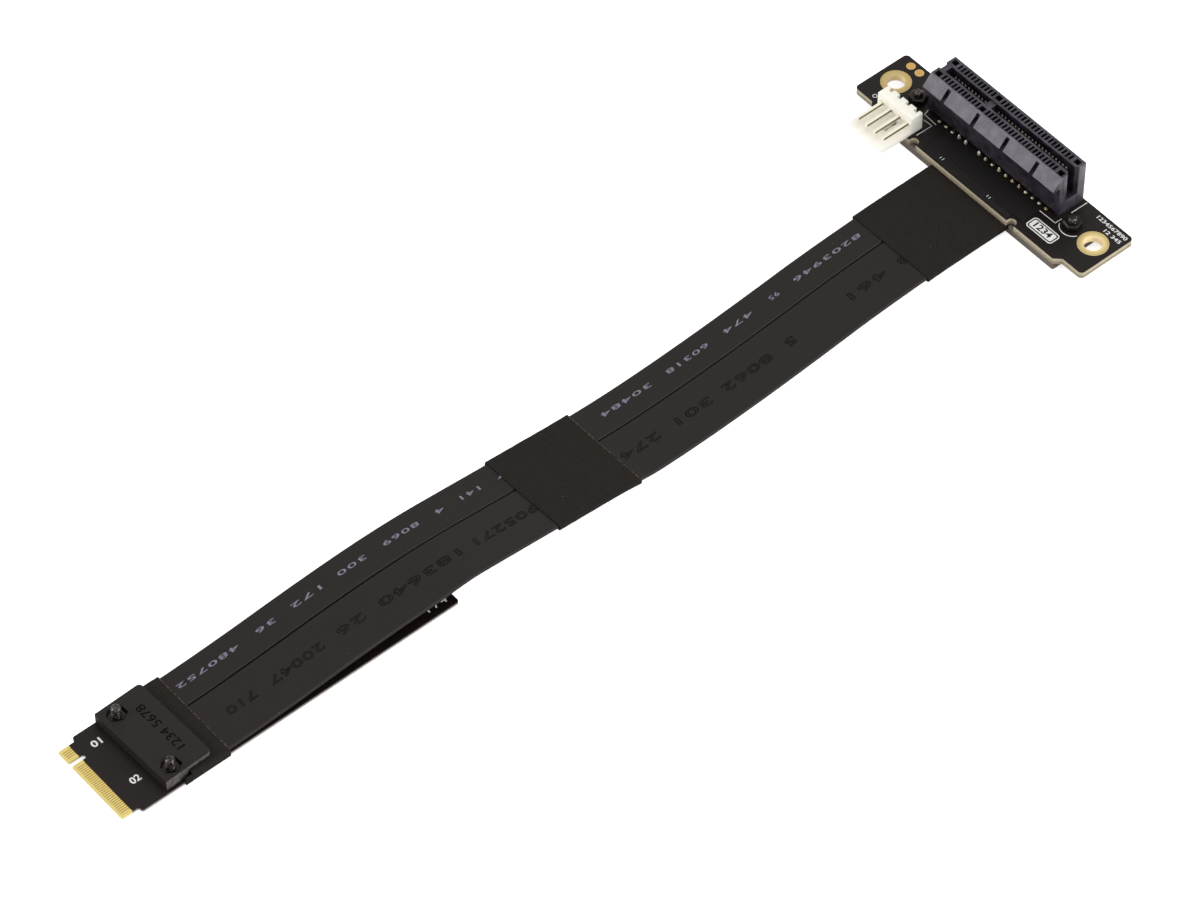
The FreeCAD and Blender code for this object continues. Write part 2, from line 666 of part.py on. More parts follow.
def make_test_pads():
    pads = []
    for from_end in TEST_PADS:
        x, y = on_riser(from_end - BOARD_LENGTH / 2, TEST_PAD_EDGE)
        pads.append(rod(x, y, BOARD_TOP, BOARD_TOP + PLATING, TEST_PAD_RADIUS))
    return group(pads)


def make_film():
    """Black insulating film from the slot's tails to the front edge, round the right notch."""
    back = SLOT_CENTRE_DEEP + TAIL_OUTER + 0.8
    front = BOARD_DEPTH - FILM_EDGE
    notch_left = NOTCH_SPACING / 2 - NOTCH_WIDTH / 2 - FILM_EDGE
    notch_back = BOARD_DEPTH - NOTCH_DEPTH - FILM_EDGE
    outline = [(FILM_LEFT, back), (FILM_RIGHT, back), (FILM_RIGHT, notch_back),
               (notch_left + FILM_EDGE, notch_back), (notch_left, front), (FILM_LEFT, front)]
    return prism([on_riser(a, d) for a, d in outline], BOARD_TOP, BOARD_TOP + FILM_THICK)


# -------------------------------------------------------------------------------- the slot
def slot_box(across0, across1, deep0, deep1, z0, z1):
    """A box measured from the key and the gap's centre, z above the board."""
    return riser_box(KEY_ACROSS + across0, KEY_ACROSS + across1,
                     SLOT_CENTRE_DEEP + deep0, SLOT_CENTRE_DEEP + deep1,
                     BOARD_TOP + z0, BOARD_TOP + z1)


def slot_prism(section, across0, across1):
    """A (deep, z) section run along the slot."""
    x = BACK_X - SLOT_CENTRE_DEEP
    y = -(KEY_ACROSS + across1)
    ring = [V(x - deep, y, BOARD_TOP + z) for deep, z in section]
    return Part.Face(Part.makePolygon(ring + ring[:1])).extrude(V(0, across1 - across0, 0))


def make_slot_housing():
    """Open-ended x4 housing: walls and key, flared front panels, a cavity for each contact."""
    top, half = SLOT_HEIGHT, SLOT_HALF_WIDTH
    lip = top - PANEL_DROP - PANEL_LIP
    section = [(-half, SLOT_STANDOFF), (-half, top), (half - PANEL_INSET, top),
               (half + PANEL_FLARE, top - PANEL_DROP), (half + PANEL_FLARE, lip), (half, lip),
               (half, SLOT_STANDOFF)]
    feet = [slot_box(a0, a1, -half, half, 0, SLOT_STANDOFF + 0.5)
            for a0, a1 in ((-SLOT_LEFT, -SLOT_LEFT + SLOT_FOOT),
                           (SLOT_RIGHT - SLOT_FOOT, SLOT_RIGHT))]
    housing = slot_prism(section, -SLOT_LEFT, SLOT_RIGHT).fuse(feet).removeSplitter()

    cuts = []
    for k in PANEL_GROOVES:
        middle = PANEL_GROOVE_OFFSET + PANEL_GROOVE_PITCH * k
        cuts.append(slot_box(middle - PANEL_GROOVE / 2, middle + PANEL_GROOVE / 2,
                             half, half + PANEL_FLARE + 1, lip - 1, top))
    cuts.append(slot_box(-GAP_LEFT, -SLOT_KEY_WIDTH / 2, -GAP_HALF_WIDTH, GAP_HALF_WIDTH,
                         GAP_FLOOR, top + 1))
    cuts.append(slot_box(SLOT_KEY_WIDTH / 2, SLOT_RIGHT + 1, -GAP_HALF_WIDTH, GAP_HALF_WIDTH,
                         GAP_FLOOR, top + 1))
    cuts.append(slot_box(-1, 1, -GAP_HALF_WIDTH, GAP_HALF_WIDTH, top - SLOT_KEY_DROP, top + 1))
    gap, wide = GAP_HALF_WIDTH, GAP_HALF_WIDTH + OPEN_END_LEAD
    corners = [(SLOT_RIGHT - OPEN_END_LEAD, -gap), (SLOT_RIGHT, -wide), (SLOT_RIGHT, wide),
               (SLOT_RIGHT - OPEN_END_LEAD, gap)]
    cuts.append(prism([on_riser(KEY_ACROSS + a, SLOT_CENTRE_DEEP + d) for a, d in corners],
                      BOARD_TOP + GAP_FLOOR, BOARD_TOP + top + 1))
    cuts.append(slot_box(-SLOT_LEFT - 1, -SLOT_LEFT + END_GROOVE_DEPTH,
                         -END_GROOVE_WIDTH / 2, END_GROOVE_WIDTH / 2, GAP_FLOOR, top + 1))
    cavity, outer = CAVITY_WIDTH / 2, CAVITY_INNER + CAVITY_LENGTH
    windows = (-SLOT_LEFT + END_WINDOW_INSET, 0, SLOT_RIGHT - END_WINDOW_INSET)
    for side in (1, -1):
        for across in windows:
            cuts.append(slot_box(across - WINDOW_WIDTH / 2, across + WINDOW_WIDTH / 2,
                                 *sorted((side * (outer - WINDOW_LENGTH), side * outer)),
                                 top - WINDOW_DEPTH, top + 1))
        for across, _ in contact_places():
            cuts.append(slot_box(across - cavity, across + cavity,
                                 *sorted((side * CAVITY_INNER, side * outer)), 0, top + 1))
            cuts.append(slot_box(across - cavity, across + cavity,
                                 *sorted((side * 0.5, side * (CAVITY_INNER + 0.1))),
                                 GAP_FLOOR + 0.4, top - LIP_HEIGHT))
    return housing.cut(group(cuts)).removeSplitter()


def make_contacts(side):
    """One row of spring contacts, each with its tail through the board."""
    bend = SLOT_STANDOFF / 2
    contacts = []
    for across, outer in contact_places():
        tail = abs(tail_deeps(outer)[0 if side > 0 else 1])
        spring = [(tail, -BOARD_THICK - TAIL_BELOW), (tail, bend), (CONTACT_STEM, bend),
                  (0.8, SLOT_HEIGHT - 2.9), (1.75, SLOT_HEIGHT - 1.2)]
        outline = [(side * deep, z) for deep, z in strip_outline(spring, CONTACT_THICK)]
        contacts.append(slot_prism(outline, across - CONTACT_WIDTH / 2,
                                   across + CONTACT_WIDTH / 2))
    return group(contacts)


# ------------------------------------------------------------------------ the power header
def make_header_housing():
    """Right-angle header: notched back wall, open tray under the pins."""
    left = HEADER_ACROSS - HEADER_WIDTH / 2
    right = HEADER_ACROSS + HEADER_WIDTH / 2
    front = HEADER_DEEP + HEADER_WALL
    wall = riser_box(left, right, HEADER_DEEP, front, BOARD_TOP, BOARD_TOP + HEADER_HEIGHT)
    tray = riser_box(left, right, front - 0.5, front + TRAY_LENGTH,
                     BOARD_TOP, BOARD_TOP + TRAY_THICK)
    housing = wall.fuse(tray).removeSplitter()
    cuts = []
    for across in header_pin_places():
        pin = HEADER_PIN / 2 + PIN_FIT
        cuts.append(riser_box(across - pin, across + pin, HEADER_DEEP, front + 1,
                              BOARD_TOP + PIN_HEIGHT - pin, BOARD_TOP + PIN_HEIGHT + pin))
        cuts.append(riser_box(across - LEG_GROOVE_WIDTH / 2, across + LEG_GROOVE_WIDTH / 2,
                              HEADER_DEEP - 1, HEADER_DEEP + LEG_GROOVE_DEPTH,
                              BOARD_TOP - 1, BOARD_TOP + HEADER_HEIGHT + 1))
    middle = HEADER_ACROSS + TRAY_SLOT_OFFSET
    cuts.append(riser_box(middle - TRAY_SLOT_WIDTH / 2, middle + TRAY_SLOT_WIDTH / 2,
                          front + 0.2, front + 0.2 + TRAY_SLOT_LENGTH,
                          BOARD_TOP - 1, BOARD_TOP + TRAY_THICK + 1))
    return housing.cut(group(cuts))


def make_header_pins():
    """Square right-angle pins, each with its leg through the board."""
    tip = HEADER_DEEP + HEADER_WALL + PIN_REACH
    level = BOARD_TOP + PIN_HEIGHT
    foot = BOARD_BOTTOM - TAIL_BELOW
    pins = []
    for across in header_pin_places():
        line = [(BACK_X - leg_deep(), foot), (BACK_X - leg_deep(), level), (BACK_X - tip, level)]
        pins.append(strip_along_x(line, -across, HEADER_PIN, HEADER_PIN))
    return group(pins)


# ------------------------------------------------------------------------ the bottom cover
def make_bottom_cover():
    """Shallow cover under the riser board: rim, screw bosses and a mouth for the cable."""
    left, right = COVER_CENTRE - COVER_LENGTH / 2, COVER_CENTRE + COVER_LENGTH / 2
    front = COVER_SETBACK + COVER_DEPTH
    cover = riser_box(left, right, COVER_SETBACK, front, 0, COVER_HEIGHT)
    cover = round_uprights(cover, COVER_CORNER, lambda x, y: True)
    room = riser_box(left + COVER_WALL, right - COVER_WALL, COVER_SETBACK + COVER_WALL,
                     front - COVER_WALL, COVER_FLOOR, COVER_HEIGHT + 1)
    bosses = [rod(x, y, 0, 9, COVER_BOSS_RADIUS) for x, y in cover_screw_places()]
    room = room.cut(group(bosses))
    cable_y = CARD_Y + CABLE_ROUTE[-1][1]
    mouth_half = PAIR_WIDTH / 2 + 0.4
    mouth = box(BACK_X - front - 1, BACK_X - front + 2 * COVER_WALL, cable_y - mouth_half,
                cable_y + mouth_half, COVER_FLOOR, COVER_HEIGHT + 1)
    cuts = [room, mouth]
    for x, y in cover_screw_places():
        cuts.append(rod(x, y, -1, 9, SCREW_HOLE_RADIUS))
        cuts.append(Part.makeCone(HEAD_RADIUS + 0.1 + HEAD_SINK, SCREW_HOLE_RADIUS,
                                  HEAD_RADIUS - SCREW_RADIUS + HEAD_SINK, V(x, y, 0)))
    for x, y in mount_places():
        cuts.append(rod(x, y, COVER_HEIGHT - 2 * PLATING, 9, MOUNT_RING_RADIUS + TAPE_FIT))
    for cut in cuts:
        cover = cover.cut(cut)
    return cover


def make_cover_screws():
    """Countersunk screws, up through the cover and the board into the nuts on top."""
    screws = []
    end = HEAD_SINK + COVER_SCREW_LENGTH
    for x, y in cover_screw_places():
        head = Part.makeCone(HEAD_RADIUS, SCREW_RADIUS, HEAD_RADIUS - SCREW_RADIUS,
                             V(x, y, HEAD_SINK))
        screw = head.fuse(rod(x, y, HEAD_SINK, end, SCREW_RADIUS)).removeSplitter()
        screws.append(screw.cut(cross_recess(x, y, -1, HEAD_SINK + DRIVER_RECESS)))
    return group(screws)


def make_cover_nuts():
    return group([hex_nut(x, y, BOARD_TOP, COVER_NUT_HEIGHT, COVER_NUT_TURN)
                  for x, y in cover_screw_places()])


# ------------------------------------------------------------------------------- all nodes
def build():
    cable_length = route_report()
    cable_end = CABLE_ROUTE[-1]
    riser_tape_start = SPAN - COVER_SETBACK - COVER_DEPTH - 0.3 - RISER_TAPE_LENGTH
    nodes = {
        "m2_board": make_card(),
        "m2_contacts_top": make_fingers(FINGER_PLACES, -FINGER_PITCH * (FINGER_PLACES - 1) / 2,
                                        CARD_TOP),
        "m2_contacts_bottom": make_fingers(FINGER_PLACES - 1,
                                           -FINGER_PITCH * (FINGER_PLACES - 2) / 2,
                                           CARD_BOTTOM - PLATING),
        "m2_end_ring": make_end_ring(),
        "m2_cable_pads": make_solder_pads(CABLE_ROUTE[0], -1, CARD_TOP),
        "m2_end_conductors": make_conductors(CABLE_ROUTE[0], -1, CARD_TOP + PLATING, 1),
        "m2_clamp_cover": make_clamp(),
        "m2_clamp_nuts": make_clamp_nuts(),
        "m2_clamp_screws": make_clamp_screws(),
        "m2_tape_wrap": make_card_tape(),
        "ribbon_left": flat_run(LEFT_OFFSET, LEFT_WIDTH, RIBBON_THICK),
        "ribbon_right": flat_run(RIGHT_OFFSET, RIGHT_WIDTH, RIBBON_THICK),
        "mid_tape_wrap": make_cable_tape(MID_TAPE_START, MID_TAPE_LENGTH),
        "riser_tape_wrap": make_cable_tape(riser_tape_start, RISER_TAPE_LENGTH),
        "riser_end_conductors": make_conductors(cable_end, 1, BOARD_BOTTOM - PLATING, -1),
        "riser_cable_pads": make_solder_pads(cable_end, 1, BOARD_BOTTOM - PLATING),
        "riser_board": make_riser_board(),
        "riser_mount_rings": make_mount_rings(),
        "riser_test_pads": make_test_pads(),
        "riser_top_film": make_film(),
        "slot_housing": make_slot_housing(),
        "slot_contacts_front": make_contacts(1),
        "slot_contacts_back": make_contacts(-1),
        "power_header_housing": make_header_housing(),
        "power_header_pins": make_header_pins(),
        "riser_bottom_cover": make_bottom_cover(),
        "riser_cover_screws": make_cover_screws(),
        "riser_cover_nuts": make_cover_nuts(),
    }
    for name, width in (("ribbon_left", LEFT_WIDTH), ("ribbon_right", RIGHT_WIDTH)):
        ratio = nodes[name].Volume / (width * RIBBON_THICK * cable_length)
        print(name, "volume over section times length", round(ratio, 4))
    return nodes


os.makedirs("parts", exist_ok=True)
for node, shape in build().items():
    if not shape.isValid():
        print("not valid:", node)
    shape.exportStep("parts/" + node + ".step")
    print(node, len(shape.Solids), "solids", round(shape.Volume, 2), "mm3")
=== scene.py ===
import math

import bpy
from mathutils import Matrix, Vector, noise


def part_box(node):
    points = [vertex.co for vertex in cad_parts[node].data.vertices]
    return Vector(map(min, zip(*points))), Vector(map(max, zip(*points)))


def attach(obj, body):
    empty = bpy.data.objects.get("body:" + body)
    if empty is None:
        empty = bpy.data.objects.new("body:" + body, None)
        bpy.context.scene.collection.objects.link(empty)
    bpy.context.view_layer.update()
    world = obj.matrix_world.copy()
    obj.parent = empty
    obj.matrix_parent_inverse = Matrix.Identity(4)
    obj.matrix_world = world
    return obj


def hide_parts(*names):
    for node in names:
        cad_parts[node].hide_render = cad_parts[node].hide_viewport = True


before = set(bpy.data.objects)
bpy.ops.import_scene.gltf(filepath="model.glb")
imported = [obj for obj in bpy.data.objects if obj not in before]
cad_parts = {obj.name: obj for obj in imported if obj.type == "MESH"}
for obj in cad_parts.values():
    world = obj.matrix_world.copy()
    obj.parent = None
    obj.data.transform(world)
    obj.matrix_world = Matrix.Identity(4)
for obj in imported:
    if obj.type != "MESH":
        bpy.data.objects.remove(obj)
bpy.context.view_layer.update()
MM = 0.001


# ---- The edge card ------------------------------------------------------------------------
# A thin glass-epoxy board, coated black on both faces and bare along its cut edges.  Gold is
# plated on the contacts along its tongue and on a half ring round the notch at its far end.
class Value:
    """A node's output that takes part in sums: each operator adds its Math node."""

    def __init__(self, nodes, socket):
        self.nodes, self.socket = nodes, socket

    def maths(self, operation, *terms):
        return self.nodes.node("ShaderNodeMath", {"operation": operation}, dict(enumerate(terms)))

    def __add__(self, other):
        return self.maths("ADD", self, other)

    def __radd__(self, other):
        return self.maths("ADD", other, self)

    def __sub__(self, other):
        return self.maths("SUBTRACT", self, other)

    def __rsub__(self, other):
        return self.maths("SUBTRACT", other, self)

    def __mul__(self, other):
        return self.maths("MULTIPLY", self, other)

    def __rmul__(self, other):
        return self.maths("MULTIPLY", other, self)

    def __truediv__(self, other):
        return self.maths("DIVIDE", self, other)

    def __gt__(self, other):
        return self.maths("GREATER_THAN", self, other)

    def __lt__(self, other):
        return self.maths("LESS_THAN", self, other)

    def __abs__(self):
        return self.maths("ABSOLUTE", self)

    def sine(self):
        return self.maths("SINE", self)

    def least(self, other):
        return self.maths("MINIMUM", self, other)

    def clamped(self):
        return self.maths("MAXIMUM", self, 0.0).least(1.0)


class Nodes:
    """A node tree that is written as calls."""

    def __init__(self, tree):
        self.tree = tree

    def node(self, kind, settings=None, inputs=None, output=0):
        """Adds a node: its settings first, then the values or links of its sockets."""
        made = self.tree.nodes.new(kind)
        for name, setting in (settings or {}).items():
            setattr(made, name, setting)
        for key, value in (inputs or {}).items():
            self.feed(made.inputs[key], value)
        return Value(self, made.outputs[output])

    def feed(self, socket, value):
        if isinstance(value, Value):
            self.tree.links.new(value.socket, socket)
        else:
            socket.default_value = value


class Finish(Nodes):
    """A material built round one Principled shader, its patterns on the piece's own coordinates."""

    def __init__(self, name, fixed):
        self.material = bpy.data.materials.new(name)
        self.material.use_nodes = True
        super().__init__(self.material.node_tree)
        self.shader = self.tree.nodes["Principled BSDF"]
        for socket, value in fixed.items():
            self.shader.inputs[socket].default_value = value
        self.place = self.node("ShaderNodeTexCoord", output="Object")

    def axes(self, vector):
        """The three numbers of a vector."""
        return [self.node("ShaderNodeSeparateXYZ", None, {0: vector}, i) for i in range(3)]

    def facing(self, axis):
        """How squarely the surface faces along an axis, from -1 to 1."""
        return self.axes(self.node("ShaderNodeTexCoord", output="Normal"))[axis]

    def vary(self, size, detail=2.0, vector=None, stretch=(1, 1, 1)):
        """Even noise from 0 to 1, with patches of the given size in mm."""
        spread = self.node("ShaderNodeMapping", None, {
            "Vector": vector or self.place, "Scale": [s / (size * MM) for s in stretch]})
        return self.node("ShaderNodeTexNoise", None, {
            "Vector": spread, "Scale": 1.0, "Detail": detail})

    def specks(self, size, share, vector, radius):
        """Dots of the given radius, on a loose grid of size mm; only a share of them is there."""
        spread = self.node("ShaderNodeMapping", None, {
            "Vector": vector, "Scale": [1 / (size * MM)] * 3})
        settings = {"feature": "F1"}
        near = self.node("ShaderNodeTexVoronoi", settings, {"Vector": spread, "Scale": 1.0})
        which = self.node("ShaderNodeTexVoronoi", settings, {"Vector": spread, "Scale": 1.0}, 1)
        chosen = self.axes(which)[0] < share
        return chosen * (near < radius / size)

    def mix(self, factor, first, second):
        """A colour between two colours."""
        return self.node("ShaderNodeMix", {"data_type": "RGBA"}, {0: factor, 6: first, 7: second}, 2)

    def colour(self, value):
        self.feed(self.shader.inputs["Base Color"], value)

    def roughness(self, value):
        self.feed(self.shader.inputs["Roughness"], value)

    def relief(self, height, depth, edge=None):
        """Raises the surface by height times depth in mm; edge rounds its corners by that much."""
        inputs = {"Height": height, "Distance": depth * MM}
        if edge:
            inputs["Normal"] = self.node("ShaderNodeBevel", {"samples": 4}, {0: edge * MM})
        self.feed(self.shader.inputs["Normal"], self.node("ShaderNodeBump", None, inputs))


def ink(red, green, blue):
    """A colour as it is seen, 0 to 255, in the linear values that shaders take."""
    def linear(level):
        level /= 255
        return level / 12.92 if level <= 0.04045 else ((level + 0.055) / 1.055) ** 2.4
    return (linear(red), linear(green), linear(blue), 1.0)


def dress(finish, *nodes):
    """Gives CAD pieces their finish."""
    for name in nodes:
        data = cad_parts[name].data
        data.materials.clear()
        data.materials.append(finish.material)


PLY_TURN = 31.0  # how fast the plies go light and dark through the board, radians per mm
BEVEL = 0.45


def laminate_finish(name, node, pale, dark, skin=0.0, bare_to=None):
    """Satin black coating on the faces, bare woven glass laminate on the cut edges.

    pale and dark are the laminate's plies, darkest on the lower half of the cut edges, which is
    painted shade, and the coating has run skin mm down the edges.  The faces are bare as far as
    bare_to along X, palest at the bevelled rim and beside the rows of contacts.
    """
    low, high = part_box(node)
    f = Finish(name, {"Specular IOR Level": 0.2})
    x, y, z = f.axes(f.place)
    cut = abs(f.facing(2)) < 0.5
    if skin:
        cut = cut * (z < high.z - skin * MM)
    plies = (z / MM * PLY_TURN).sine() * 0.5 + 0.5
    fibre = f.vary(0.25, 3.0, stretch=(1, 1, 0.15))
    # painted shade: the cut edges are darker below a wavy line through their middle
    lower_edge_shade = z < (low.z + high.z) / 2 + (f.vary(1.5, 3.0) - 0.5) * 0.5 * MM
    laminate = f.mix((plies * 0.25 + fibre * 0.4 + lower_edge_shade * 0.4).clamped(), pale, dark)
    coating = f.mix(f.vary(3.0), ink(14, 8, 6), ink(22, 16, 14))
    if bare_to is not None:
        bare = x < bare_to
        gap = f.mix(f.vary(0.4), ink(136, 98, 34), ink(108, 78, 26))
        rows = sorted(v.co.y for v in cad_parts["m2_contacts_top"].data.vertices)
        _, key_low, key_high = max((b - a, a, b) for a, b in zip(rows, rows[1:]))
        beside = (y < rows[0]) + (y > rows[-1]) + (y > key_low) * (y < key_high)
        rim = (beside + (x < low.x + BEVEL * MM)).clamped()
        coating = f.mix(bare, coating, f.mix(rim, gap, ink(206, 188, 116)))
        laminate = f.mix(bare, laminate, ink(204, 192, 140))
    f.colour(f.mix(cut, coating, laminate))
    f.roughness(cut * 0.35 + 0.38 + f.vary(0.9) * 0.12)
    f.relief(f.vary(0.12, 3.0), 0.006)
    return f


def gold_finish(name, pale, deep):
    """Gold plating: evenly worn, with fine rubbing marks along X."""
    f = Finish(name, {"Metallic": 0.75, "Specular IOR Level": 0.5})
    f.colour(f.mix(f.vary(0.6, 3.0), pale, deep))
    f.roughness(f.vary(0.2, 2.0, stretch=(0.2, 1, 1)) * 0.2 + 0.3)
    f.relief(f.vary(0.1, 2.0, stretch=(0.15, 1, 1)), 0.004)
    return f


card_low, card_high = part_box("m2_board")
card_y = (card_low.y + card_high.y) / 2
contacts_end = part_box("m2_contacts_top")[1].x
card_laminate = laminate_finish("card laminate", "m2_board", ink(168, 160, 157),
                                ink(130, 120, 116), 0.34, contacts_end + 0.1 * MM)
hard_gold = gold_finish("hard gold", ink(230, 210, 136), ink(208, 184, 102))
soft_gold = gold_finish("soft gold", ink(240, 216, 156), ink(206, 174, 108))
dress(card_laminate, "m2_board")
dress(hard_gold, "m2_contacts_top", "m2_contacts_bottom")
dress(soft_gold, "m2_end_ring", "m2_cable_pads")


def on_card(x, y, z=0.0):
    """A place on the card's face: mm from its contact edge, its centre line and its face."""
    return Vector((card_low.x + x * MM, card_y + y * MM, card_high.z + z * MM))


def put(name, data):
    """A new object in the scene."""
    made = bpy.data.objects.new(name, data)
    bpy.context.scene.collection.objects.link(made)
    return made


def add_piece(name, mesh, finish):
    """A finished mesh as a piece of the object, riding on its one body."""
    mesh.name = name
    mesh.materials.clear()
    mesh.materials.append(finish.material)
    piece = put(name, mesh)
    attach(piece, "root")
    return piece


def plain_mesh(source):
    """An object as it stands, with its modifiers or curve made a plain mesh; it is removed."""
    graph = bpy.context.evaluated_depsgraph_get()
    mesh = bpy.data.meshes.new_from_object(source.evaluated_get(graph))
    bpy.data.objects.remove(source)
    return mesh


LEGEND_THICK = 0.02
FIGURE_SHARE = 0.7  # the height of a figure in a font of size 1


def figures(text, height, length, thick=LEGEND_THICK, spaced=1.0, bold=0.0, outline=0.0):
    """Figures as a mesh: lying flat, reading along X, centred, all sizes in mm.

    With an outline they are only that, a round line of the given radius.
    """
    curve = bpy.data.curves.new("figures", "FONT")
    curve.body = text
    curve.align_x, curve.align_y = "CENTER", "CENTER"
    curve.size = height / FIGURE_SHARE * MM
    curve.space_character = spaced
    curve.resolution_u = 3
    curve.offset = bold * MM
    if outline:
        curve.fill_mode, curve.bevel_depth, curve.bevel_resolution = "NONE", outline * MM, 1
    else:
        curve.extrude = thick / 2 * MM
    mesh = plain_mesh(put("figures", curve))
    left, right = [pick(v.co.x for v in mesh.vertices) for pick in (min, max)]
    mesh.transform(Matrix.Diagonal((length * MM / (right - left), 1, 1, 1))
                   @ Matrix.Translation((-(left + right) / 2, 0, 0)))
    return mesh


def laid(mesh, place, turn=0.0):
    """A flat mesh turned about its middle and moved to its place."""
    mesh.transform(Matrix.Translation(place) @ Matrix.Rotation(turn, 4, "Z"))
    return mesh


def joined(meshes):
    """Several meshes as one, each with its UV map."""
    objects = [put("part", mesh) for mesh in meshes]
    with bpy.context.temp_override(active_object=objects[0], selected_editable_objects=objects):
        bpy.ops.object.join()
    whole = objects[0].data
    bpy.data.objects.remove(objects[0])
    return whole


def even_finish(name, fixed, light, dark, patches, dullness, grain):
    """A finish with no pattern of its own, only uneven in colour, gloss and surface.

    patches are the size and detail of its light and dark, dullness the size, swing and base of
    its roughness, grain a size and a depth; sizes are in mm.
    """
    f = Finish(name, fixed)
    f.colour(f.mix(f.vary(*patches), light, dark))
    size, swing, base = dullness
    f.roughness(f.vary(size) * swing + base)
    size, depth = grain
    f.relief(f.vary(size), depth)
    return f


# white ink, slightly uneven where it was screened on
legend = even_finish(
    "legend ink", {"Specular IOR Level": 0.3}, ink(232, 232, 230), ink(196, 196, 194),
    patches=(0.3, 3.0), dullness=(0.2, 0.2, 0.5), grain=(0.08, 0.004))
# figures, where they are in mm from the contact edge and the centre line, and their length
CARD_MARKS = (("01", 6.8, 7.0, 2.2), ("02", 7.25, -4.5, 2.2), ("1 7 4", 76.1, -8.85, 4.6))
add_piece("m2_legend", joined([
    laid(figures(text, 1.5, length, bold=0.05), on_card(x, y, LEGEND_THICK / 2))
    for text, x, y, length in CARD_MARKS]), legend)


# ---- The clamp cover on the card ----------------------------------------------------------
# A matt black moulding over the cable's soldered ends.  Two steel screws come up through the
# card, and their nuts sit in hexagonal pockets in the cover.
def moulded_finish(name, dark, light, edge, sheen=0.24, painted_highlight=None):
    """Matt moulded plastic with a fine spark-eroded grain; its right-hand side can get a patchy
    painted highlight.
    """
    f = Finish(name, {"Specular IOR Level": sheen})
    body = f.mix(f.vary(2.0) * 0.5 + f.vary(0.45, 4.0) * 0.5, dark, light)
    if painted_highlight:
        # painted highlight: faces turned to the right are lightened in patches
        right = f.facing(1) < -0.6
        body = f.mix(right * (f.vary(0.9, 4.0) * 1.6 - 0.2).clamped(), body, painted_highlight)
    f.colour(body)
    f.roughness(f.vary(0.6) * 0.14 + 0.52)
    f.relief(f.vary(0.12, 4.0) + f.vary(0.5, 2.0), 0.04, edge)
    return f


def steel_finish(name, dark, light):
    """Black oxide steel, oily, with brighter patches painted in at random as glints."""
    f = Finish(name, {"Metallic": 0.85, "Specular IOR Level": 0.5})
    # painted highlight: random patches in the light colour stand in for glints
    painted_highlight = ((f.vary(0.35, 3.0) - 0.38) * 4.0).clamped()
    f.colour(f.mix(painted_highlight, dark, light))
    f.roughness(f.vary(0.3) * 0.2 + 0.15)
    f.relief(f.vary(0.15, 3.0), 0.01, 0.06)
    return f


# the clamp's right-hand faces get a patchy painted highlight
clamp_plastic = moulded_finish("clamp moulding", ink(14, 9, 8), ink(28, 22, 20), 0.06,
                               painted_highlight=ink(96, 91, 86))
# the pressed-in figures are dark figures laid on the clamp's top: painted shade of their recesses
recess_shade_plastic = moulded_finish("sunk figures", ink(3, 2, 2), ink(8, 6, 6), 0.02, 0.04)
steel = steel_finish("black steel", ink(40, 34, 32), ink(52, 45, 42))
glinting_steel = steel_finish("worn steel", ink(26, 23, 22), ink(98, 92, 88))
dress(clamp_plastic, "m2_clamp_cover")
dress(steel, "m2_clamp_nuts")
dress(glinting_steel, "m2_clamp_screws")

CLAMP_TURN = math.radians(1.8)
SUNK_THICK = 0.05
clamp_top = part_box("m2_clamp_cover")[1].z
# dark figures that paint the shade inside the pressed-in figures
sunk = laid(figures("1234 5678", 1.9, 13.0, SUNK_THICK),
            (card_low.x + 17.3 * MM, card_y + 0.7 * MM, clamp_top), math.pi / 2 + CLAMP_TURN)
add_piece("m2_clamp_figures", sunk, recess_shade_plastic)


class Recipe(Nodes):
    """A Geometry Nodes tree with named sizes, in metres, that is run once on a start mesh."""

    def __init__(self, name, sizes):
        super().__init__(bpy.data.node_groups.new(name, "GeometryNodeTree"))
        sockets = self.tree.interface
        sockets.new_socket("Geometry", in_out="INPUT", socket_type="NodeSocketGeometry")
        sockets.new_socket("Geometry", in_out="OUTPUT", socket_type="NodeSocketGeometry")
        for size in sizes:
            sockets.new_socket(size, in_out="INPUT", socket_type="NodeSocketFloat")
        self.given = self.tree.nodes.new("NodeGroupInput")

    def size(self, name):
        return Value(self, self.given.outputs[name])

    def end(self, geometry, finish):
        """Makes the result real and gives it its material."""
        real = self.node("GeometryNodeRealizeInstances", None, {0: geometry})
        dressed = self.node("GeometryNodeSetMaterial", None, {0: real, "Material": finish.material})
        self.feed(self.tree.nodes.new("NodeGroupOutput").inputs[0], dressed)

    def run(self, start, **sizes):
        """The plain mesh that the tree makes of the start mesh."""
        holder = put(self.tree.name, start)
        modifier = holder.modifiers.new("recipe", "NODES")
        modifier.node_group = self.tree
        for socket in self.tree.interface.items_tree:
            if socket.name in sizes:
                modifier[socket.identifier] = sizes[socket.name] * MM
        return plain_mesh(holder)


def new_mesh(name, vertices, edges=(), faces=()):
    """A mesh of its parts; with vertices alone it is loose points, for a recipe to build on."""
    mesh = bpy.data.meshes.new(name)
    mesh.from_pydata(vertices, edges, faces)
    return mesh


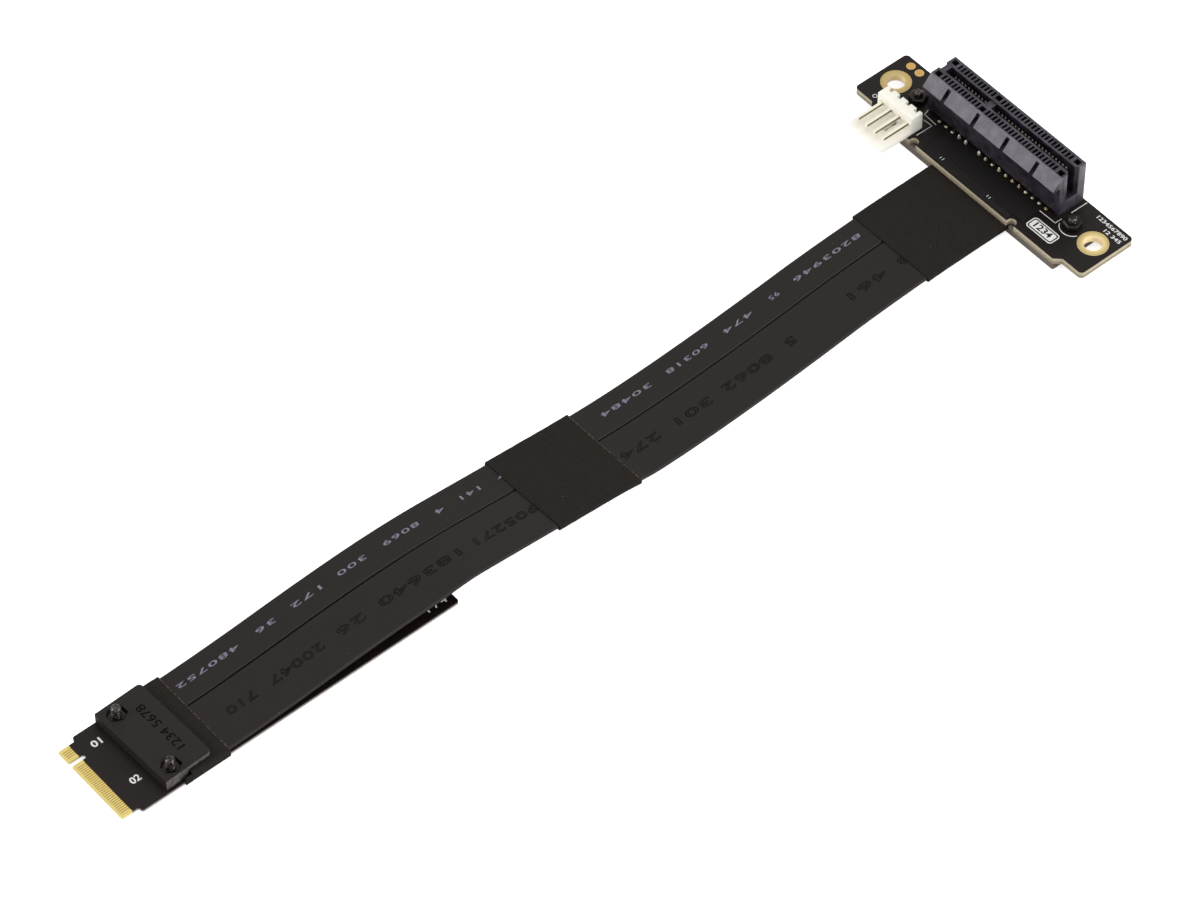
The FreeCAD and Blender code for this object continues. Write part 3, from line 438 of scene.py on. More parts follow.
def thread_recipe(finish):
    """A helical ridge round each point, with a chamfered tip on top."""
    r = Recipe("screw_thread", ("Radius", "Height", "Pitch", "Ridge", "Tip"))
    radius, height, ridge, tip = (r.size(n) for n in ("Radius", "Height", "Ridge", "Tip"))
    helix = r.node("GeometryNodeCurveSpiral", None, {
        "Resolution": 16, "Rotations": height / r.size("Pitch"), "Start Radius": radius,
        "End Radius": radius, "Height": height})
    section = r.node("GeometryNodeCurvePrimitiveCircle", {"mode": "RADIUS"}, {
        "Resolution": 4, "Radius": ridge})
    coil = r.node("GeometryNodeCurveToMesh", None, {
        "Curve": helix, "Profile Curve": section, "Fill Caps": True})
    cone = r.node("GeometryNodeMeshCone", {"fill_type": "NGON"}, {
        "Vertices": 24, "Radius Top": radius - tip, "Radius Bottom": radius, "Depth": tip})
    lift = r.node("ShaderNodeCombineXYZ", None, {"Z": height})
    cone = r.node("GeometryNodeTransform", None, {"Geometry": cone, "Translation": lift})
    join = r.tree.nodes.new("GeometryNodeJoinGeometry")
    for part in (cone, coil):
        r.feed(join.inputs[0], part)
    spots = r.node("GeometryNodeInstanceOnPoints", None, {
        "Points": r.size("Geometry"), "Instance": Value(r, join.outputs[0])})
    r.end(spots, finish)
    return r


def two_pieces(node):
    """The points of a node's two pieces, which are side by side, the right-hand one's first."""
    low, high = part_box(node)
    middle = (low.y + high.y) / 2
    points = [v.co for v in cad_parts[node].data.vertices]
    return [[p for p in points if (p.y - middle) * side > 0] for side in (-1, 1)]


steel_thread = thread_recipe(glinting_steel)
SCREW_RADIUS, SCREW_TIP, THREAD_PITCH, THREAD_RIDGE = 0.93, 0.25, 0.4, 0.09


def screw_ends(name, screws, nuts):
    """The threaded ends that stand above the nuts."""
    nut_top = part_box(nuts)[1].z
    spots = []
    for screw in two_pieces(screws):
        x, y, _ = [(min(row) + max(row)) / 2 for row in zip(*screw)]
        spots.append((x, y, nut_top))
    height = (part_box(screws)[1].z - nut_top) / MM
    ends = steel_thread.run(new_mesh(name, spots), Radius=SCREW_RADIUS, Height=height,
                            Pitch=THREAD_PITCH, Ridge=THREAD_RIDGE, Tip=SCREW_TIP)
    add_piece(name, ends, glinting_steel)


screw_ends("m2_screw_threads", "m2_clamp_screws", "m2_clamp_nuts")


# the cable's conductors, of tinned copper: soft grey metal with a drawn surface
tinned = even_finish(
    "tinned copper", {"Metallic": 1.0, "Specular IOR Level": 0.5}, ink(205, 202, 196),
    ink(160, 156, 150), patches=(0.4,), dullness=(0.2, 0.2, 0.3), grain=(0.15, 0.01))
dress(tinned, "m2_end_conductors")


# ---- The two flat cables ------------------------------------------------------------------
# Laminated ribbons with a soft satin black jacket, side by side: a narrow one with figures
# printed along it and a wide one with figures pressed into it.  They follow the part's own
# route, moved sideways by up to 0.4 mm beyond the card.
CABLE_ROUTE = [
    # from the card's contact edge, from the card's centre line, above the floor
    (0.0185, 0.00000, 0.00293),
    (0.0260, 0.00000, 0.00299),
    (0.0400, 0.00000, 0.00372),
    (0.0560, 0.00000, 0.00510),
    (0.0710, 0.00000, 0.00585),
    (0.0830, 0.00000, 0.00562),
    (0.0940, 0.00000, 0.00462),
    (0.1060, 0.00020, 0.00322),
    (0.1260, 0.00048, 0.00108),
    (0.1400, 0.00065, 0.00056),
    (0.1580, 0.00118, 0.00054),
    (0.1760, 0.00215, 0.00058),
    (0.1900, 0.00292, 0.00086),
    (0.2140, 0.00332, 0.00137),
    (0.2300, 0.00305, 0.00143),
]
LEFT_WIDTH, RIGHT_WIDTH, RIBBON_GAP, RIBBON_THICK = 8.6, 13.0, 0.2, 1.0
PAIR_WIDTH = LEFT_WIDTH + RIBBON_GAP + RIGHT_WIDTH
LEFT_OFFSET = (PAIR_WIDTH - LEFT_WIDTH) / 2
RIGHT_OFFSET = (RIGHT_WIDTH - PAIR_WIDTH) / 2
SEAM = LEFT_OFFSET - LEFT_WIDTH / 2


class Route:
    """The smooth line that a flat cable or a wrap follows, from points on the card."""

    def __init__(self, name, places, sideways=0.0):
        curve = bpy.data.curves.new(name, "CURVE")
        curve.dimensions = "3D"
        curve.resolution_u = 16
        spline = curve.splines.new("NURBS")
        spline.points.add(len(places) - 1)
        for point, (x, y, z) in zip(spline.points, places):
            point.co = (card_low.x + x, card_y + y + sideways * MM, z, 1)
        spline.order_u = 3
        spline.use_endpoint_u = True
        line = plain_mesh(put(name, curve))
        self.points = [v.co.copy() for v in line.vertices]
        self.reach = [0.0]
        for a, b in zip(self.points, self.points[1:]):
            self.reach.append(self.reach[-1] + (b - a).length)
        self.length = self.reach[-1]

    def at(self, distance):
        """The point that far along, and the directions along, sideways and up from there."""
        i = 0
        while i < len(self.points) - 2 and self.reach[i + 1] < distance:
            i += 1
        a, b = self.points[i], self.points[i + 1]
        share = (distance - self.reach[i]) / (self.reach[i + 1] - self.reach[i])
        before, after = self.points[max(i - 1, 0)], self.points[min(i + 2, len(self.points) - 1)]
        along = (b - before).normalized().lerp((after - a).normalized(), share).normalized()
        side = Vector((-along.y, along.x, 0)).normalized()
        return a.lerp(b, share), along, side, along.cross(side)

    def distance_at(self, x):
        """How far along the line it reaches x."""
        for i in range(len(self.points) - 2):
            if self.points[i + 1].x >= x:
                break
        a, b = self.points[i], self.points[i + 1]
        return self.reach[i] + (x - a.x) / (b.x - a.x) * (self.reach[i + 1] - self.reach[i])

    def lay(self, mesh, start, sideways, lift):
        """Bends a flat mesh along the line, turned so that it reads from the far end."""
        for v in mesh.vertices:
            centre, _, side, up = self.at(start - v.co.x)
            v.co = centre + side * (sideways - v.co.y) + up * (v.co.z + lift)
        return mesh


EDGE_RADIUS = 0.45
CORNER_STEPS = 4


def rounded_section(width, thick, radius=EDGE_RADIUS):
    """A flat section's outline, its long edges rounded, in metres."""
    half_w, half_t = width / 2 - radius, thick / 2 - radius
    outline = []
    for corner in range(4):
        cx = half_w if corner in (0, 3) else -half_w
        cz = half_t if corner in (0, 1) else -half_t
        for i in range(CORNER_STEPS + 1):
            turn = math.pi / 2 * (corner + i / CORNER_STEPS)
            outline.append(((cx + radius * math.cos(turn)) * MM, (cz + radius * math.sin(turn)) * MM))
    return outline


def filled_out(outline, spacing):
    """The outline with its long runs divided, spacing in mm, so that it can be shaped."""
    full = []
    for (y0, z0), (y1, z1) in zip(outline, outline[1:] + outline[:1]):
        count = max(1, round(math.hypot(y1 - y0, z1 - z0) / (spacing * MM)))
        full += [(y0 + (y1 - y0) * i / count, z0 + (z1 - z0) * i / count) for i in range(count)]
    return full


def smoothed(mesh):
    """Shades a mesh smooth, but for its sharp edges and its many-sided ends."""
    for face in mesh.polygons:
        face.use_smooth = len(face.vertices) == 4
    mesh.set_sharp_from_angle(angle=math.radians(40))
    return mesh


def sweep(route, start, end, step, loops, shape=None, zero=0.0):
    """Runs closed outlines along the line and closes the ends: one loop is solid, two a sleeve.

    The UV map holds metres along the line, from zero, and metres sideways.
    """
    count = max(2, round((end - start) / (step * MM)))
    vertices, spots, faces = [], [], []
    size = len(loops[0])
    for k, loop in enumerate(loops):
        for i in range(count + 1):
            distance = start + (end - start) * i / count
            centre, _, side, up = route.at(distance)
            for y, z in loop:
                if shape and k == 0:
                    y, z = shape(distance, y, z)
                vertices.append(centre + side * y + up * z)
                spots.append((abs(distance - zero), y))
        base = k * size * (count + 1)
        for i in range(count):
            for j in range(size):
                a, b = base + i * size + j, base + i * size + (j + 1) % size
                quad = [a, b, b + size, a + size]
                faces.append(quad[::-1] if k == 0 else quad)
    last = count * size
    if len(loops) == 1:
        faces += [list(range(size)), [last + j for j in range(size)][::-1]]
    else:
        inner = size * (count + 1)
        for j in range(size):
            a, b = j, (j + 1) % size
            faces.append([a, b, inner + b, inner + a])
            faces.append([last + b, last + a, inner + last + a, inner + last + b])
    mesh = new_mesh("sweep", vertices, faces=faces)
    uv = mesh.uv_layers.new(name="Lay")
    for loop in mesh.loops:
        uv.data[loop.index].uv = spots[loop.vertex_index]
    return smoothed(mesh)


CONDUCTOR_PITCH = 1.15


def jacket_finish():
    """Satin jacket: faint ridges over the conductors, lengthwise rubbing and a little dust."""
    f = Finish("ribbon jacket", {"Specular IOR Level": 0.24})
    lay = f.node("ShaderNodeUVMap", {"uv_map": "Lay"})
    sideways = f.axes(lay)[1] / MM
    ridges = (sideways * (2 * math.pi / CONDUCTOR_PITCH)).sine() * 0.5 + 0.5
    rubbing = f.vary(0.5, 3.0, lay, (0.06, 1, 1))
    grain = f.vary(0.35, 3.0, lay)
    dull = f.mix(f.vary(4.0, 3.0, lay) * 0.5 + grain * 0.5, ink(14, 8, 5), ink(26, 19, 16))
    f.colour(f.mix(f.specks(2.0, 0.12, lay, 0.06), dull, ink(104, 100, 94)))
    f.roughness(rubbing * 0.12 + 0.5)
    f.relief(ridges * 0.25 + f.vary(0.12, 4.0, lay) * 0.5 + rubbing * 0.25, 0.02)
    return f


def eased(share):
    """A smooth step from 0 to 1."""
    share = min(1.0, max(0.0, share))
    return share * share * (3 - 2 * share)


# the askew stretch, from and to in mm from the card's contact edge, how long it takes to
# come and go, and how high it lifts the outer edge
TILT_START, TILT_END, TILT_EASE, TILT_RISE = 73.0, 132.0, 13.0, 0.9


def tilted(mesh):
    """Lifts the wide cable's outer edge along the stretch that comes down off the card askew."""
    seam = card_y + SEAM * MM
    for v in mesh.vertices:
        x = (v.co.x - card_low.x) / MM
        rise = TILT_RISE * eased((x - TILT_START) / TILT_EASE) * eased((TILT_END - x) / TILT_EASE)
        v.co.z += rise * max(0.0, seam - v.co.y) / RIGHT_WIDTH
    return mesh


jacket = jacket_finish()
middle_route = Route("pair_line", CABLE_ROUTE)
left_route = Route("left_line", CABLE_ROUTE, LEFT_OFFSET)
right_route = Route("right_line", CABLE_ROUTE, RIGHT_OFFSET)


def ribbon(name, route, width):
    """One flat cable along its line."""
    section = filled_out(rounded_section(width, RIBBON_THICK), 0.6)
    run = sweep(route, 0.0, route.length, 1.0, [section])
    piece = add_piece("flat_cable_" + name, tilted(run), jacket)
    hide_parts("ribbon_" + name)
    return piece


left_ribbon = ribbon("left", left_route, LEFT_WIDTH)
right_ribbon = ribbon("right", right_route, RIGHT_WIDTH)


def figures_along(route, runs, height, spaced, sideways, bold=0.0, outline=0.0):
    """Runs of figures laid along a cable, each between two places, read from its far end."""
    marks = []
    for text, near, far in runs:
        mark = figures(text, height, far - near, LEGEND_THICK, spaced, bold, outline)
        middle = route.distance_at(card_low.x + (near + far) / 2 * MM)
        marks.append(route.lay(mark, middle, sideways * MM, RIBBON_THICK / 2 * MM))
    return joined(marks)


# each run of figures, with its ends in mm from the card's contact edge
LEFT_RUNS = (
    ("480752", 25.7, 40.4), ("36", 44.7, 49.2), ("172", 53.3, 60.5), ("300", 64.6, 71.4),
    ("8069", 75.7, 84.4), ("4", 88.6, 90.7), ("141", 94.9, 99.7), ("7", 103.9, 106.4),
    ("30484", 131.1, 144.0), ("60318", 148.4, 159.5), ("474", 163.9, 171.8),
    ("95", 176.7, 179.2), ("8203946", 183.6, 201.9))
RIGHT_RUNS = (
    ("710", 29.3, 36.1), ("20047", 39.6, 52.5), ("26", 55.9, 62.5), ("183640", 66.2, 86.0),
    ("905271", 89.5, 105.4), ("274", 127.0, 136.9), ("301", 141.4, 150.6),
    ("8062", 154.1, 167.2), ("5", 171.4, 173.8), ("461", 189.0, 199.3), ("3", 202.6, 205.6))
# violet-grey ink, so thin that the jacket shows through in places
marking = even_finish(
    "marking ink", {"Specular IOR Level": 0.3}, ink(126, 125, 140), ink(96, 95, 108),
    patches=(0.4, 3.0), dullness=(0.3, 0.2, 0.5), grain=(0.1, 0.004))
left_figures = add_piece("cable_left_figures", figures_along(
    left_route, LEFT_RUNS, height=1.05, spaced=1.15, sideways=0.2, bold=0.015),
    marking)


def pressed_finish():
    """Where the jacket is pressed in: the same plastic, smoother, and darker at the edges, which is
    painted shade.
    """
    f = Finish("pressed jacket", {"Specular IOR Level": 0.08})
    f.colour(f.mix(((f.vary(7.0, 3.0) - 0.35) * 3.0).clamped(), ink(8, 5, 4), ink(24, 17, 14)))
    f.roughness(f.vary(0.5) * 0.15 + 0.55)
    f.relief(f.vary(0.15), 0.01)
    return f


# the dark outlines round the pressed-in figures are painted shade at their edges
right_figures = add_piece("cable_right_figures", tilted(figures_along(
    right_route, RIGHT_RUNS, height=1.9, spaced=1.1, sideways=0.4, outline=0.065)),
    pressed_finish())


# ---- The tape wraps -----------------------------------------------------------------------
# Black cloth tape wound flat round both cables: over the card's end, halfway along, and where
# the cables go under the riser board.  It is a fine plain weave, and dust sticks to its edges.
TAPE, TAPE_SIDE, TAPE_FIT = 0.15, 0.42, 0.05  # over and under the cables, beside them, its play
WEAVE_PITCH, LAYER_PITCH, DUSTY_EDGE = 0.32, 0.42, 0.16


def tape_finish():
    """Fine plain weave, brownish black, layered at the sides and dusty along its last edge."""
    f = Finish("cloth tape", {"Specular IOR Level": 0.1})
    lay = f.node("ShaderNodeUVMap", {"uv_map": "Lay"})
    along, sideways, _ = f.axes(lay)
    turn = 2 * math.pi / (WEAVE_PITCH * MM)
    weave = (along * turn).sine() * (sideways * turn).sine() * 0.5 + 0.5
    layers = (f.axes(f.place)[2] * (2 * math.pi / (LAYER_PITCH * MM))).sine() * 0.5 + 0.5
    side = abs(f.facing(1)) > 0.7
    grain = ((f.vary(0.5, 3.0, lay) - 0.35) * 3.0).clamped()
    cloth = f.mix(f.vary(2.5, 4.0, lay) * 0.5 + grain * 0.5, ink(24, 20, 18), ink(42, 37, 34))
    cloth = f.mix(weave * 0.4, cloth, ink(23, 21, 18))
    cloth = f.mix(side * layers * 0.5, cloth, ink(14, 12, 11))
    rim = (along < DUSTY_EDGE * MM) * (f.vary(0.45, 4.0, lay) > 0.5)
    cloth = f.mix(rim * f.vary(3.0, 2.0, lay), cloth, ink(112, 105, 92))
    f.colour(f.mix(f.specks(1.7, 0.16, lay, 0.075), cloth, ink(128, 122, 110)))
    f.roughness(weave * 0.1 + 0.72)
    f.relief(weave * 0.5 + f.vary(0.1, 3.0, lay) * 0.3 + side * layers * 1.5, 0.03)
    return f


tape = tape_finish()


def wrap(name, start_x, end_x, seed):
    """A flat sleeve of tape over part of the pair, sunk a little between the two cables."""
    def pressed(distance, y, z):
        ripple = noise.noise(Vector((distance / (7 * MM), y / (9 * MM), seed)))
        hollow = -0.06 * MM * math.exp(-((y - SEAM * MM) / (0.5 * MM)) ** 2)
        lift = (ripple * 0.05 * MM + hollow) * (1 if z > 0 else 0)
        fray = noise.noise(Vector((distance / (2 * MM), z / MM, seed + 5))) * 0.05 * MM
        return y + (fray if abs(y) > PAIR_WIDTH / 2 * MM else 0), z + lift

    width, thick = PAIR_WIDTH + 2 * TAPE_FIT, RIBBON_THICK + 2 * TAPE_FIT
    outer = filled_out(rounded_section(width + 2 * TAPE_SIDE, thick + 2 * TAPE), 0.7)
    inner = [(y * width / (width + 2 * TAPE_SIDE), z * thick / (thick + 2 * TAPE)) for y, z in outer]
    start = middle_route.distance_at(card_low.x + start_x * MM)
    end = middle_route.distance_at(card_low.x + end_x * MM)
    piece = add_piece("cloth_" + name, tilted(sweep(
        middle_route, start, end, 0.7, [outer, inner], pressed, end)), tape)
    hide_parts(name)
    return piece


mid_wrap = wrap("mid_tape_wrap", 105.0, 126.0, 1.0)
riser_wrap_low, riser_wrap_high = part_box("riser_tape_wrap")
riser_wrap = wrap("riser_tape_wrap", (riser_wrap_low.x - card_low.x) / MM + 0.5,
                  (riser_wrap_high.x - card_low.x) / MM, 2.0)


def card_wrap():
    """The wrap over the card's end: a tube behind the clamp's bosses, with its outer turn
    stopping short, and before them only the bottom and sides that pass below the clamp."""
    low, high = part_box("m2_tape_wrap")
    bosses_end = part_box("m2_clamp_nuts")[1].x - card_low.x + 0.5 * MM
    heads_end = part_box("m2_clamp_screws")[1].x - card_low.x + 0.05 * MM
    start, end = low.x - card_low.x, high.x - card_low.x
    level = (low.z + high.z) / 2
    width, thick = (high.y - low.y) / MM, (high.z - low.z) / MM
    card_half = (card_high.y - card_low.y) / 2 / MM + 0.03
    bottom = (card_low.z - level) / MM - 0.015
    roof = thick / 2 - 0.25
    outer = filled_out(rounded_section(width, thick, 0.5), 0.6)
    inner = [(max(-card_half * MM, min(card_half * MM, y)),
              max(bottom * MM, min(roof * MM, z))) for y, z in outer]
    line = Route("card_wrap_line", [(start, 0, level), ((start + end) / 2, 0, level),
                                    (end, 0, level)])

    def worn(distance, y, z):
        ripple = noise.noise(Vector((distance / (3 * MM), y / (4 * MM), 8.0))) * 0.05 * MM
        last_turn = -0.09 * MM if end - start - distance < 1.0 * MM else 0.0
        if z > 0:
            z += min(ripple, 0.0) + last_turn
        return y, z

    half, under, side_top = width / 2, -thick / 2, 0.95
    side = [(half - 0.1, under + 0.15), (half, under + 0.4), (half, side_top - 0.25),
            (half - 0.1, side_top), (card_half, side_top), (card_half, under + 0.15)]
    below = [(-half + 0.3, bottom), (-half + 0.3, under), (half - 0.3, under), (half - 0.3, bottom)]
    left = [(y * MM, z * MM) for y, z in side]
    right = [(-y, z) for y, z in left[::-1]]
    sole = [(y * MM, z * MM) for y, z in below]
    length, boss, head = end - start, bosses_end - start, heads_end - start
    parts = [sweep(line, boss, length, 0.5, [outer, inner], worn, length)]
    for section, first in ((left, 0.0), (right, 0.0), (sole, head)):
        parts.append(sweep(line, first, boss, 0.5, [section], None, length))
    piece = add_piece("cloth_m2_tape_wrap", joined(parts), tape)
    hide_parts("m2_tape_wrap")


card_wrap()


# ---- The riser board ----------------------------------------------------------------------
# A thicker board of the same black laminate, with gold-plated mounting holes in its ears and
# a white legend screened on it: the slot's outline, marks round the screws, figures.
riser_laminate = laminate_finish("riser laminate", "riser_board", ink(190, 182, 156),
                                 ink(108, 94, 78))
dress(riser_laminate, "riser_board")
dress(soft_gold, "riser_cable_pads")


def round_gold(name, node, radius, middle, rim, deep, wall):
    """Gold on two round pieces: duller towards the rim, darker on the left-hand piece, which is
    painted shade.

    wall is the colour of its upright sides, such as the plating down a hole; the rings' pale wall is
    a painted reflection of the white around them.
    """
    f = Finish(name, {"Specular IOR Level": 0.5})
    x, y, _ = f.axes(f.place)
    middles = [sum(points, Vector()) / len(points) for points in two_pieces(node)]
    to_right, to_left = [(x - m.x) * (x - m.x) + (y - m.y) * (y - m.y) for m in middles]
    out = to_right.least(to_left) * (1 / (radius * MM) ** 2)
    face = f.mix(((out - 0.42) * 2.6 + f.vary(0.5, 3.0) * 0.5 - 0.25).clamped(), middle, rim)
    # painted shade: the left-hand piece is darkened towards the deep colour
    face = f.mix((to_left < to_right) * 0.7, face, deep)
    upright = abs(f.facing(2)) < 0.5
    # the upright sides take the wall colour, on the rings a painted reflection
    f.colour(f.mix(upright, face, wall))
    f.feed(f.shader.inputs["Metallic"], 0.75 - upright * 0.6)
    f.roughness(f.vary(0.2) * 0.2 + 0.3)
    f.relief(f.vary(0.1), 0.004)
    return f


RING_RADIUS, PAD_RADIUS = 3.3, 1.0
# each third colour darkens the left-hand piece as painted shade
dress(round_gold("ring gold", "riser_mount_rings", RING_RADIUS, ink(230, 206, 148),
                 ink(194, 174, 118), ink(182, 158, 102), ink(250, 230, 184)), "riser_mount_rings")
dress(round_gold("pad gold", "riser_test_pads", PAD_RADIUS, ink(204, 156, 90),
                 ink(200, 178, 118), ink(200, 162, 96), ink(190, 160, 100)), "riser_test_pads")
dress(tinned, "riser_end_conductors")
board_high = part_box("riser_board")[1]


def on_riser(across, deep, z=0.0):
    """A place on the riser board: mm along the slot, from the back edge and above its face."""
    return Vector((board_high.x - deep * MM, -across * MM, board_high.z + z * MM))


def line_recipe(finish):
    """A flat printed line along each edge path."""
    r = Recipe("legend_line", ("Width", "Thickness"))
    path = r.node("GeometryNodeMeshToCurve", None, {"Mesh": r.size("Geometry")})
    path = r.node("GeometryNodeSetCurveNormal", {"mode": "Z_UP"}, {"Curve": path})
    section = r.node("GeometryNodeCurvePrimitiveQuadrilateral", {"mode": "RECTANGLE"}, {
        "Width": r.size("Width"), "Height": r.size("Thickness")})
    r.end(r.node("GeometryNodeCurveToMesh", None, {
        "Curve": path, "Profile Curve": section, "Fill Caps": True}), finish)
    return r


def paths_mesh(name, paths):
    """Open paths as a mesh of edges; a path that ends where it starts is closed."""
    vertices, edges = [], []
    for path in paths:
        start = len(vertices)
        closed = (path[0] - path[-1]).length < 1e-6
        vertices += path[:-1] if closed else path
        edges += [(i, i + 1) for i in range(start, len(vertices) - 1)]
        if closed:
            edges.append((len(vertices) - 1, start))
    return new_mesh(name, vertices, edges)


def arc(across, deep, radius, from_turn, to_turn, steps=16):
    """Points of an arc on the board's face; turns are degrees from along the slot."""
    turns = [math.radians(from_turn + (to_turn - from_turn) * i / steps) for i in range(steps + 1)]
    return [(across + radius * math.cos(t), deep + radius * math.sin(t)) for t in turns]


def rounded_box(left, right, back, front, radius):
    """A closed outline with rounded corners."""
    corners = ((right - radius, front - radius, 0), (left + radius, front - radius, 90),
               (left + radius, back + radius, 180), (right - radius, back + radius, 270))
    points = [spot for x, y, turn in corners for spot in arc(x, y, radius, turn, turn + 90, 5)]
    return points + points[:1]


NUT_HALF = 1.9
nut_low, nut_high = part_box("riser_cover_nuts")
right_nut = (-nut_low.y / MM - NUT_HALF, (board_high.x - (nut_low.x + nut_high.x) / 2) / MM)
slot_right = -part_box("slot_housing")[0].y / MM + 1.1
FINE_LINE, FRAME_LINE = 0.2, 0.26
fine_lines = [
    # across the board from its middle, deep from its back edge
    [(slot_right, 0.3), (slot_right - 0.05, 4.7)],
    [(slot_right - 0.1, 7.3), (slot_right - 0.15, 9.05), (15.7, 9.15)],
    [(-19.35, 7.3), (-18.95, 8.85), (-15.2, 9.05)],
    [(-17.95, 10.0), (-15.53, 9.85), (-15.65, 14.1)],
    arc(*right_nut, 2.75, 25, 150),
    arc(-29.46, 13.1, 0.45, 0, 360),
]
legend_line = line_recipe(legend)


def printed(name, lines, width):
    """Legend lines of one width on the board's face."""
    paths = [[on_riser(a, d, LEGEND_THICK / 2) for a, d in line] for line in lines]
    return legend_line.run(paths_mesh(name, paths), Width=width, Thickness=LEGEND_THICK)


def plate(outline):
    """A printed patch on the board's face over a closed outline."""
    spots = outline[:-1]
    low = [on_riser(a, d) for a, d in spots]
    high = [on_riser(a, d, LEGEND_THICK) for a, d in spots]
    count = len(spots)
    faces = [list(range(count)), list(range(count, 2 * count))[::-1]]
    faces += [(i + count, (i + 1) % count + count, (i + 1) % count, i) for i in range(count)]
    mesh = new_mesh("plate", low + high, faces=faces)
    mesh.validate()
    return mesh


ALONG_SLOT = -math.pi / 2
# the label's frame, in mm: across from and to, deep from and to
LABEL = (16.85, 24.0, 10.9, 13.85)
LABEL_GAP = 0.42
inside = [side + gap for side, gap in zip(LABEL, (LABEL_GAP, -LABEL_GAP) * 2)]
legend_parts = [printed("fine_lines", fine_lines, FINE_LINE),
                printed("label_frame", [rounded_box(*LABEL, 0.7)], FRAME_LINE),
                plate(rounded_box(*inside, 0.4))]
for text, height, left, right, back, front in (
        ("1234567890", 0.95, 24.9, 33.3, 0.85, 1.8), ("12 345", 0.9, 28.5, 33.1, 2.45, 3.35)):
    spot = on_riser((left + right) / 2, (back + front) / 2, LEGEND_THICK / 2)
    legend_parts.append(laid(figures(text, height, right - left, bold=0.02), spot, ALONG_SLOT))
add_piece("riser_legend", joined(legend_parts), legend)
label_middle = on_riser((LABEL[0] + LABEL[1]) / 2, (LABEL[2] + LABEL[3]) / 2, LEGEND_THICK * 1.3)
add_piece("riser_label_figures", laid(figures("1234", 1.5, 4.6, bold=0.05), label_middle,
                                      ALONG_SLOT), riser_laminate)


# ---- The insulating film ------------------------------------------------------------------
# Black polyester film stuck over the cable's joints, from the slot's tails to the front edge.
# It is thin enough to wrinkle, and its front edge has a fold where it was pressed down.
FILM_THICK, FILM_STEP = 0.1, 0.28
FOLD_AT, FOLD_WIDTH, FOLD_RISE = 1.8, 0.25, 0.1
# cut wire ends push the film up in a row near its front: how far right of the middle they are
WIRE_ENDS = (8.3, 9.5, 10.6, 11.7, 12.6)
WIRE_ROW, WIRE_WIDTH, WIRE_RISE = 1.1, 0.3, 0.24
NOTCH_BACK, NOTCH_SIDE = 14.25, 13.4
film_low, film_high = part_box("riser_top_film")
film_plastic = moulded_finish("insulating film", ink(6, 3, 3), ink(13, 9, 7), 0.02)


def film_sheet():
    """A wrinkled sheet with its right front corner cut away for the board's notch."""
    wide, long = film_high.y - film_low.y, film_high.x - film_low.x
    across, down = round(wide / MM / FILM_STEP), round(long / MM / FILM_STEP)
    vertices, faces, spots = [], [], {}
    for i in range(across + 1):
        for j in range(down + 1):
            x, y = film_high.x - long * j / down, film_high.y - wide * i / across
            from_front = (x - film_low.x) / MM
            wave = noise.noise(Vector((x / (3.5 * MM), y / (2.2 * MM), 3.0)))
            uneven = 0.6 + 0.8 * noise.noise(Vector((x / MM, y / (1.3 * MM), 9.0)))
            fold = math.exp(-((from_front - FOLD_AT) / FOLD_WIDTH) ** 2) * FOLD_RISE * uneven
            before = ((from_front - WIRE_ROW) / WIRE_WIDTH) ** 2
            ends = sum(math.exp(-before - ((y / MM + wire) / WIRE_WIDTH) ** 2)
                       for wire in WIRE_ENDS) * WIRE_RISE
            lift = 0.05 + 0.06 * wave + fold + ends
            fixed = min(1.0, i * 0.5, (across - i) * 0.5, j * 0.5, (down - j) * 0.5)
            spots[i, j] = len(vertices)
            vertices.append((x, y, board_high.z + (FILM_THICK * 0.2 + lift * fixed) * MM))
    for i in range(across):
        for j in range(down):
            corner = [vertices[spots[i + di, j + dj]] for di, dj in ((0, 0), (1, 0), (1, 1), (0, 1))]
            deep = (board_high.x - min(c[0] for c in corner)) / MM
            right = -min(c[1] for c in corner) / MM
            if deep > NOTCH_BACK and right > NOTCH_SIDE:
                continue
            faces.append([spots[i, j], spots[i, j + 1], spots[i + 1, j + 1], spots[i + 1, j]])
    holder = put("film", new_mesh("film", vertices, faces=faces))
    solid = holder.modifiers.new("thickness", "SOLIDIFY")
    solid.thickness, solid.offset = FILM_THICK * MM * 0.6, 1.0
    return smoothed(plain_mesh(holder))


film = add_piece("wrinkled_film", film_sheet(), film_plastic)
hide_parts("riser_top_film")
add_piece("film_marks", joined([
    laid(figures("11", 0.7, 0.8), on_riser(across, 14.57, FILM_THICK + 0.04), ALONG_SLOT)
    for across in (-7.4, 6.6)]), legend)


